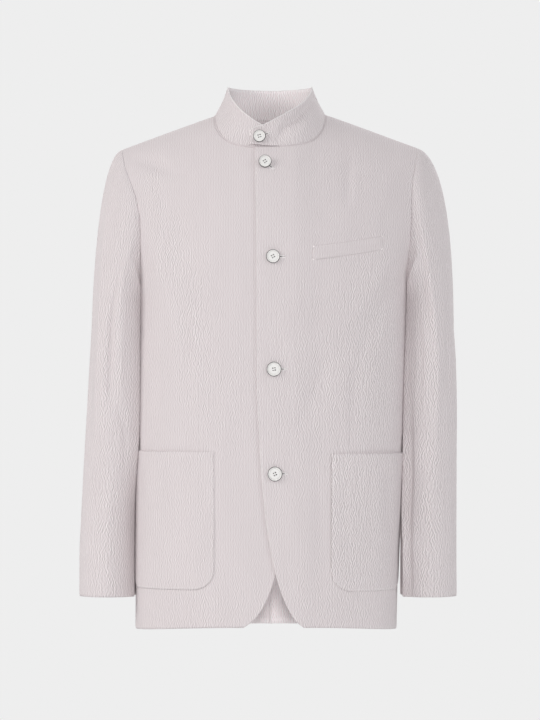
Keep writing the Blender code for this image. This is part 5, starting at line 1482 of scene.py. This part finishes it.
def sewing_thread(place, normal, holes, shank_end):
    """Two bars over the dish, each of two strands, and the shank below."""
    parts = []
    for a, b in (holes[:2], holes[2:]):
        run = np.array(b) - np.array(a)
        beside = np.array([-run[1], run[0]]) / np.linalg.norm(run)
        for strand in (-1, 1):
            path = []
            for t in np.linspace(0, 1, STRAND_POINTS):
                flat = np.array(a) + run * t + beside * strand * STRAND_BOW * math.sin(math.pi * t)
                height = BUTTON_DISH - STRAND_DIVE + STRAND_ARCH * math.sin(math.pi * t) ** 0.5
                path.append(place @ Vector((*flat, height)))
            parts.append(tube(path, STRAND_RADIUS, LINE_SIDES, normal))
    shank = [place @ Vector((0, 0, level)) for level in np.linspace(SHANK_UP, shank_end, SHANK_POINTS)]
    return parts + [tube(shank, SHANK_RADIUS, SHANK_SIDES, SIDEWAYS)]


def buttonhole(row, skin, skin_normals):
    """A ring of close stitches round a slit, whose opening is a dark line of painted shade."""
    center = np.array([row.x, row.z])
    ahead = np.array([math.cos(row.slant), math.sin(row.slant)])
    aside = np.array([-ahead[1], ahead[0]])
    turn = np.linspace(0, 2 * math.pi, RING_POINTS)
    half = (BUTTONHOLE_BACK + row.radius + STITCHES_PAST - 2 * BUTTONHOLE_HALF) / 2
    straight = np.sign(np.cos(turn)) * half * np.minimum(1, np.abs(np.cos(turn)) * RING_STRAIGHT)
    ring = np.stack([straight, 0 * turn], -1) + BUTTONHOLE_HALF * np.stack([np.cos(turn), np.sin(turn)], -1)
    flat = center + (ring[:, :1] + half - BUTTONHOLE_BACK) * ahead + ring[:, 1:] * aside
    path, lead = over_skin(skin, skin_normals, flat, RING_LIFT)
    radius = RING_RADIUS + RING_TWIST * np.sin(np.arange(len(path)) * math.pi / 2.0)
    line_piece(f"{row.node}_hole_stitches", "thread", path, radius, LINE_SIDES, lead, RING_FLAT)
    # The slit is a dark line of painted shade over the cloth
    reach = np.linspace(SLIT_START - BUTTONHOLE_BACK, row.radius + SLIT_PAST, SLIT_POINTS)
    path, lead = over_skin(skin, skin_normals, center + reach[:, None] * ahead, SLIT_LIFT)
    width = tapered(SLIT_RADIUS, SLIT_TAPER, len(path))
    line_piece(f"{row.node}_slit", "slit_and_hole_shade", path, width, LINE_SIDES, lead, SLIT_FLAT)


SIDEWAYS, FORWARD = np.array([1.0, 0.0, 0.0]), np.array([0.0, -1.0, 0.0])
for row in BUTTONS:
    skin, skin_normals = carrier(row)
    point, normal = spot(skin, skin_normals, row.x, row.z, row.radius)
    normal = unit(normal * (1 - BUTTON_FACING) + FORWARD * BUTTON_FACING)
    under = np.hypot(skin[..., 0] - row.x, skin[..., 2] - row.z) < row.radius * BUTTON_CLEAR
    highest = ((skin - point) @ normal)[under].max()
    seat = point + normal * (highest + BUTTON_BACK_GAP)
    mesh = button_mesh(row)
    mesh.name = f"{row.node}_turned"
    mesh.shade_smooth()
    mesh.set_sharp_from_angle(angle=SHARP_ANGLE)
    mesh.materials.clear()
    mesh.materials.append(PLAIN["button_white"])
    # The outer band of the button takes the dark finish: painted shadow round its edge
    mesh.materials.append(PLAIN["button_edge_shade"])
    for polygon in mesh.polygons:
        polygon.material_index = int(math.hypot(*polygon.center[:2]) > row.radius - BUTTON_SHADE_BAND)
    place = Matrix.Translation(Vector(seat)) @ Vector(normal).to_track_quat("Z", "Y").to_matrix().to_4x4()
    mesh.transform(place)
    made = add_object(f"{row.node}_turned", mesh)
    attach(made, "root")
    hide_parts(row.node)
    holes = hole_places(row)
    parts = sewing_thread(place, normal, holes, -BUTTON_BACK_GAP - highest - SHANK_DOWN)
    joined_piece(f"{row.node}_thread", parts, PLAIN["button_thread"])
    # Dark discs down in the holes are painted shade
    levels = (HOLE_SHADE_LEVEL - HOLE_SHADE_THICK, HOLE_SHADE_LEVEL)
    parts = []
    for x, y in holes:
        path = [place @ Vector((x, y, level)) for level in levels]
        parts.append(tube(path, HOLE_RADIUS * HOLE_SHADE_SHARE, HOLE_SIDES, SIDEWAYS))
    joined_piece(f"{row.node}_hole_shade_discs", parts, PLAIN["slit_and_hole_shade"])
    buttonhole(row, skin, skin_normals)

# The collar's seam on the fronts is a soft roll of cloth, fuller on the right where the seam hardly shows
foot, foot_normals = skins["collar"][0], collar_normals[0]
for roll_name, roll_radius, lap in (("right", RIGHT_ROLL, right_lap), ("left", LEFT_ROLL, left_lap)):
    run = lap & (sewn > 0.5)
    roll = foot[run] + foot_normals[run] * ROLL_LIFT
    line_piece(f"collar_seam_{roll_name}", "seam_roll", roll, roll_radius, ROLL_SIDES, foot_normals[run])

# Fine pale lines on the turned edges of the collar's top and of the left front: painted highlight where the
# edges catch the light
edge = skins["collar"][-1]
line_piece("collar_edge_highlight", "edge_highlight", edge, COLLAR_LINE, LINE_SIDES, collar_normals[-1])
edge = skins["front_left"][:, 0]
edge = edge[(edge[:, 2] < FRONT_LINE_TOP) & (edge[:, 2] > FRONT_LINE_BOTTOM)]
radius = tapered(FRONT_LINE, FRONT_LINE_TAPER, len(edge))
line_piece("front_edge_highlight", "edge_highlight", edge, radius, LINE_SIDES, FORWARD)

# The seam at the back of the neck, inside, and a fine dark line along the left pocket's edge: painted shadow
# in the groove there
run = neck_faces == BACK
roll = foot[run] - foot_normals[run] * (COLLAR_WALL + BACK_ROLL_LIFT)
line_piece("collar_seam_back", "seam_roll", roll, BACK_ROLL, ROLL_SIDES, foot_normals[run])
skin, normals, _ = patch_edges["pocket_left"]
line_piece("pocket_left_shadow_line", "shadow_line", skin[2:, 0], POCKET_SHADOW_LINE, LINE_SIDES, normals[2:, 0])


# Stitches along the sewn edges of the patches


def stitch_line(skin, normals, from_edge):
    """Short stitches on a patch along a line a set distance inside its sewn edges."""
    rows, columns = skin.shape[:2]
    path, lead = [], []
    ring = [(r, 0) for r in range(rows - 1, -1, -1)] + [(0, c) for c in range(1, columns)]
    ring += [(r, columns - 1) for r in range(1, rows)]
    middle = np.array(PATCH_MIDDLE) * (rows, columns)
    inward = np.linspace(0, 1, INWARD_STEPS)[:, None]
    for place in ring:
        cells = np.array(place) + (middle - np.array(place)) * inward * INWARD_REACH
        cells = np.clip(cells, 0, [rows - LAST_CELL, columns - LAST_CELL])
        low = cells.astype(int)
        share = cells - low
        corners = [(low[:, 0] + a, low[:, 1] + b) for a in (0, 1) for b in (0, 1)]
        weights = [np.abs(1 - a - share[:, 0]) * np.abs(1 - b - share[:, 1]) for a in (0, 1) for b in (0, 1)]
        depth = sum(w * from_edge[c] for w, c in zip(weights, corners))
        k = int(np.argmin(np.abs(depth - STITCH_INSET)))
        path.append(sum(w[k] * skin[c][k] for w, c in zip(weights, corners)))
        lead.append(sum(w[k] * normals[c][k] for w, c in zip(weights, corners)))
    path, lead = np.array(path), unit(np.array(lead))
    along = run_length(path)
    share = np.linspace(0, 1, STITCH_POINTS)
    arch = np.sin(math.pi * share)
    radius = STITCH_END + STITCH_SWELL * arch
    parts = []
    for start in np.arange(STITCH_PITCH, along[-1] - STITCH_PITCH, STITCH_PITCH):
        run, up = (read_along(start + STITCH_LENGTH * share, along, values) for values in (path, lead))
        run = run + up * (STITCH_BOW * arch - STITCH_SINK)[:, None]
        parts.append(tube(run, radius, STITCH_SIDES, unit(up), STITCH_FLAT))
    return parts


for node, patch in patch_edges.items():
    joined_piece(f"{node}_stitches", stitch_line(*patch), PLAIN["thread"])


# Fields of a flat cut of a cloth piece, hems and seam allowances included: width, length and area, with held
# and rests_on; no piece is given one here
Cut = namedtuple("Cut", "width length area held rests_on")


# Floor, light and camera

FLOOR_Z, FLOOR_RADIUS, FLOOR_SIDES = -1.80, 2.6, 96


def floor_disc(bm):
    level = Matrix.Translation((0, 0, FLOOR_Z))
    bmesh.ops.create_circle(bm, cap_ends=True, segments=FLOOR_SIDES, radius=FLOOR_RADIUS, matrix=level)


floor_piece = helper("floor", floor_disc)
floor_piece.data.materials.append(PLAIN["floor_pale"])

Light = namedtuple("Light", "name x y z size energy color")
LIGHTS = (
    Light("key", -4.68, -1.89, 1.8, 2.4, 131, (1.0, 0.99, 0.98)),
    Light("front", 0.05, -6.5, 0.3, 0.5, 168, (1.0, 1.0, 1.0)),
    Light("right", 4.2, -2.8, 1.9, 2.5, 64, (0.94, 0.97, 1.0)),
    Light("rear", 1.5, 3.5, 2.0, 2.5, 60, (1.0, 1.0, 1.0)),
)
MIDDLE = Vector((0, 0, -0.35))
for row in LIGHTS:
    data = bpy.data.lights.new(row.name, "AREA")
    data.energy, data.size, data.color = row.energy, row.size, row.color
    lamp = add_object(row.name, data)
    lamp.location = (row.x, row.y, row.z)
    lamp.rotation_euler = (MIDDLE - lamp.location).to_track_quat("-Z", "Y").to_euler()

# The room is pale behind the jacket and dimmer before it, so that the lamps model the cloth
world = bpy.data.worlds.new("studio")
world.use_nodes = True
room = world.node_tree
way = room.nodes.new("ShaderNodeTexCoord")
way_split = room.nodes.new("ShaderNodeSeparateXYZ")
room.links.new(way.outputs["Generated"], way_split.inputs["Vector"])
spread = room.nodes.new("ShaderNodeMapRange")
spread.interpolation_type = "SMOOTHSTEP"
spread.inputs["From Min"].default_value = ROOM_FROM
spread.inputs["From Max"].default_value = ROOM_TO
spread.inputs["To Min"].default_value = ROOM_BEFORE
spread.inputs["To Max"].default_value = BACKGROUND
room.links.new(way_split.outputs["Y"], spread.inputs["Value"])
room.links.new(spread.outputs["Result"], room.nodes["Background"].inputs["Color"])
bpy.context.scene.world = world
bpy.context.scene.view_settings.view_transform = "Standard"

camera = bpy.data.cameras.new("photo")
camera.sensor_width = SENSOR
camera.lens = SENSOR * CAMERA_AWAY / (IMAGE_HEIGHT * PIXEL_SIZE)
camera.clip_end = FARTHEST
eye = add_object("photo", camera)
eye.location = (0, -CAMERA_AWAY, (ORIGIN_ROW - IMAGE_HEIGHT / 2) * PIXEL_SIZE)
eye.rotation_euler = (math.pi / 2, 0, 0)
bpy.context.scene.camera = eye
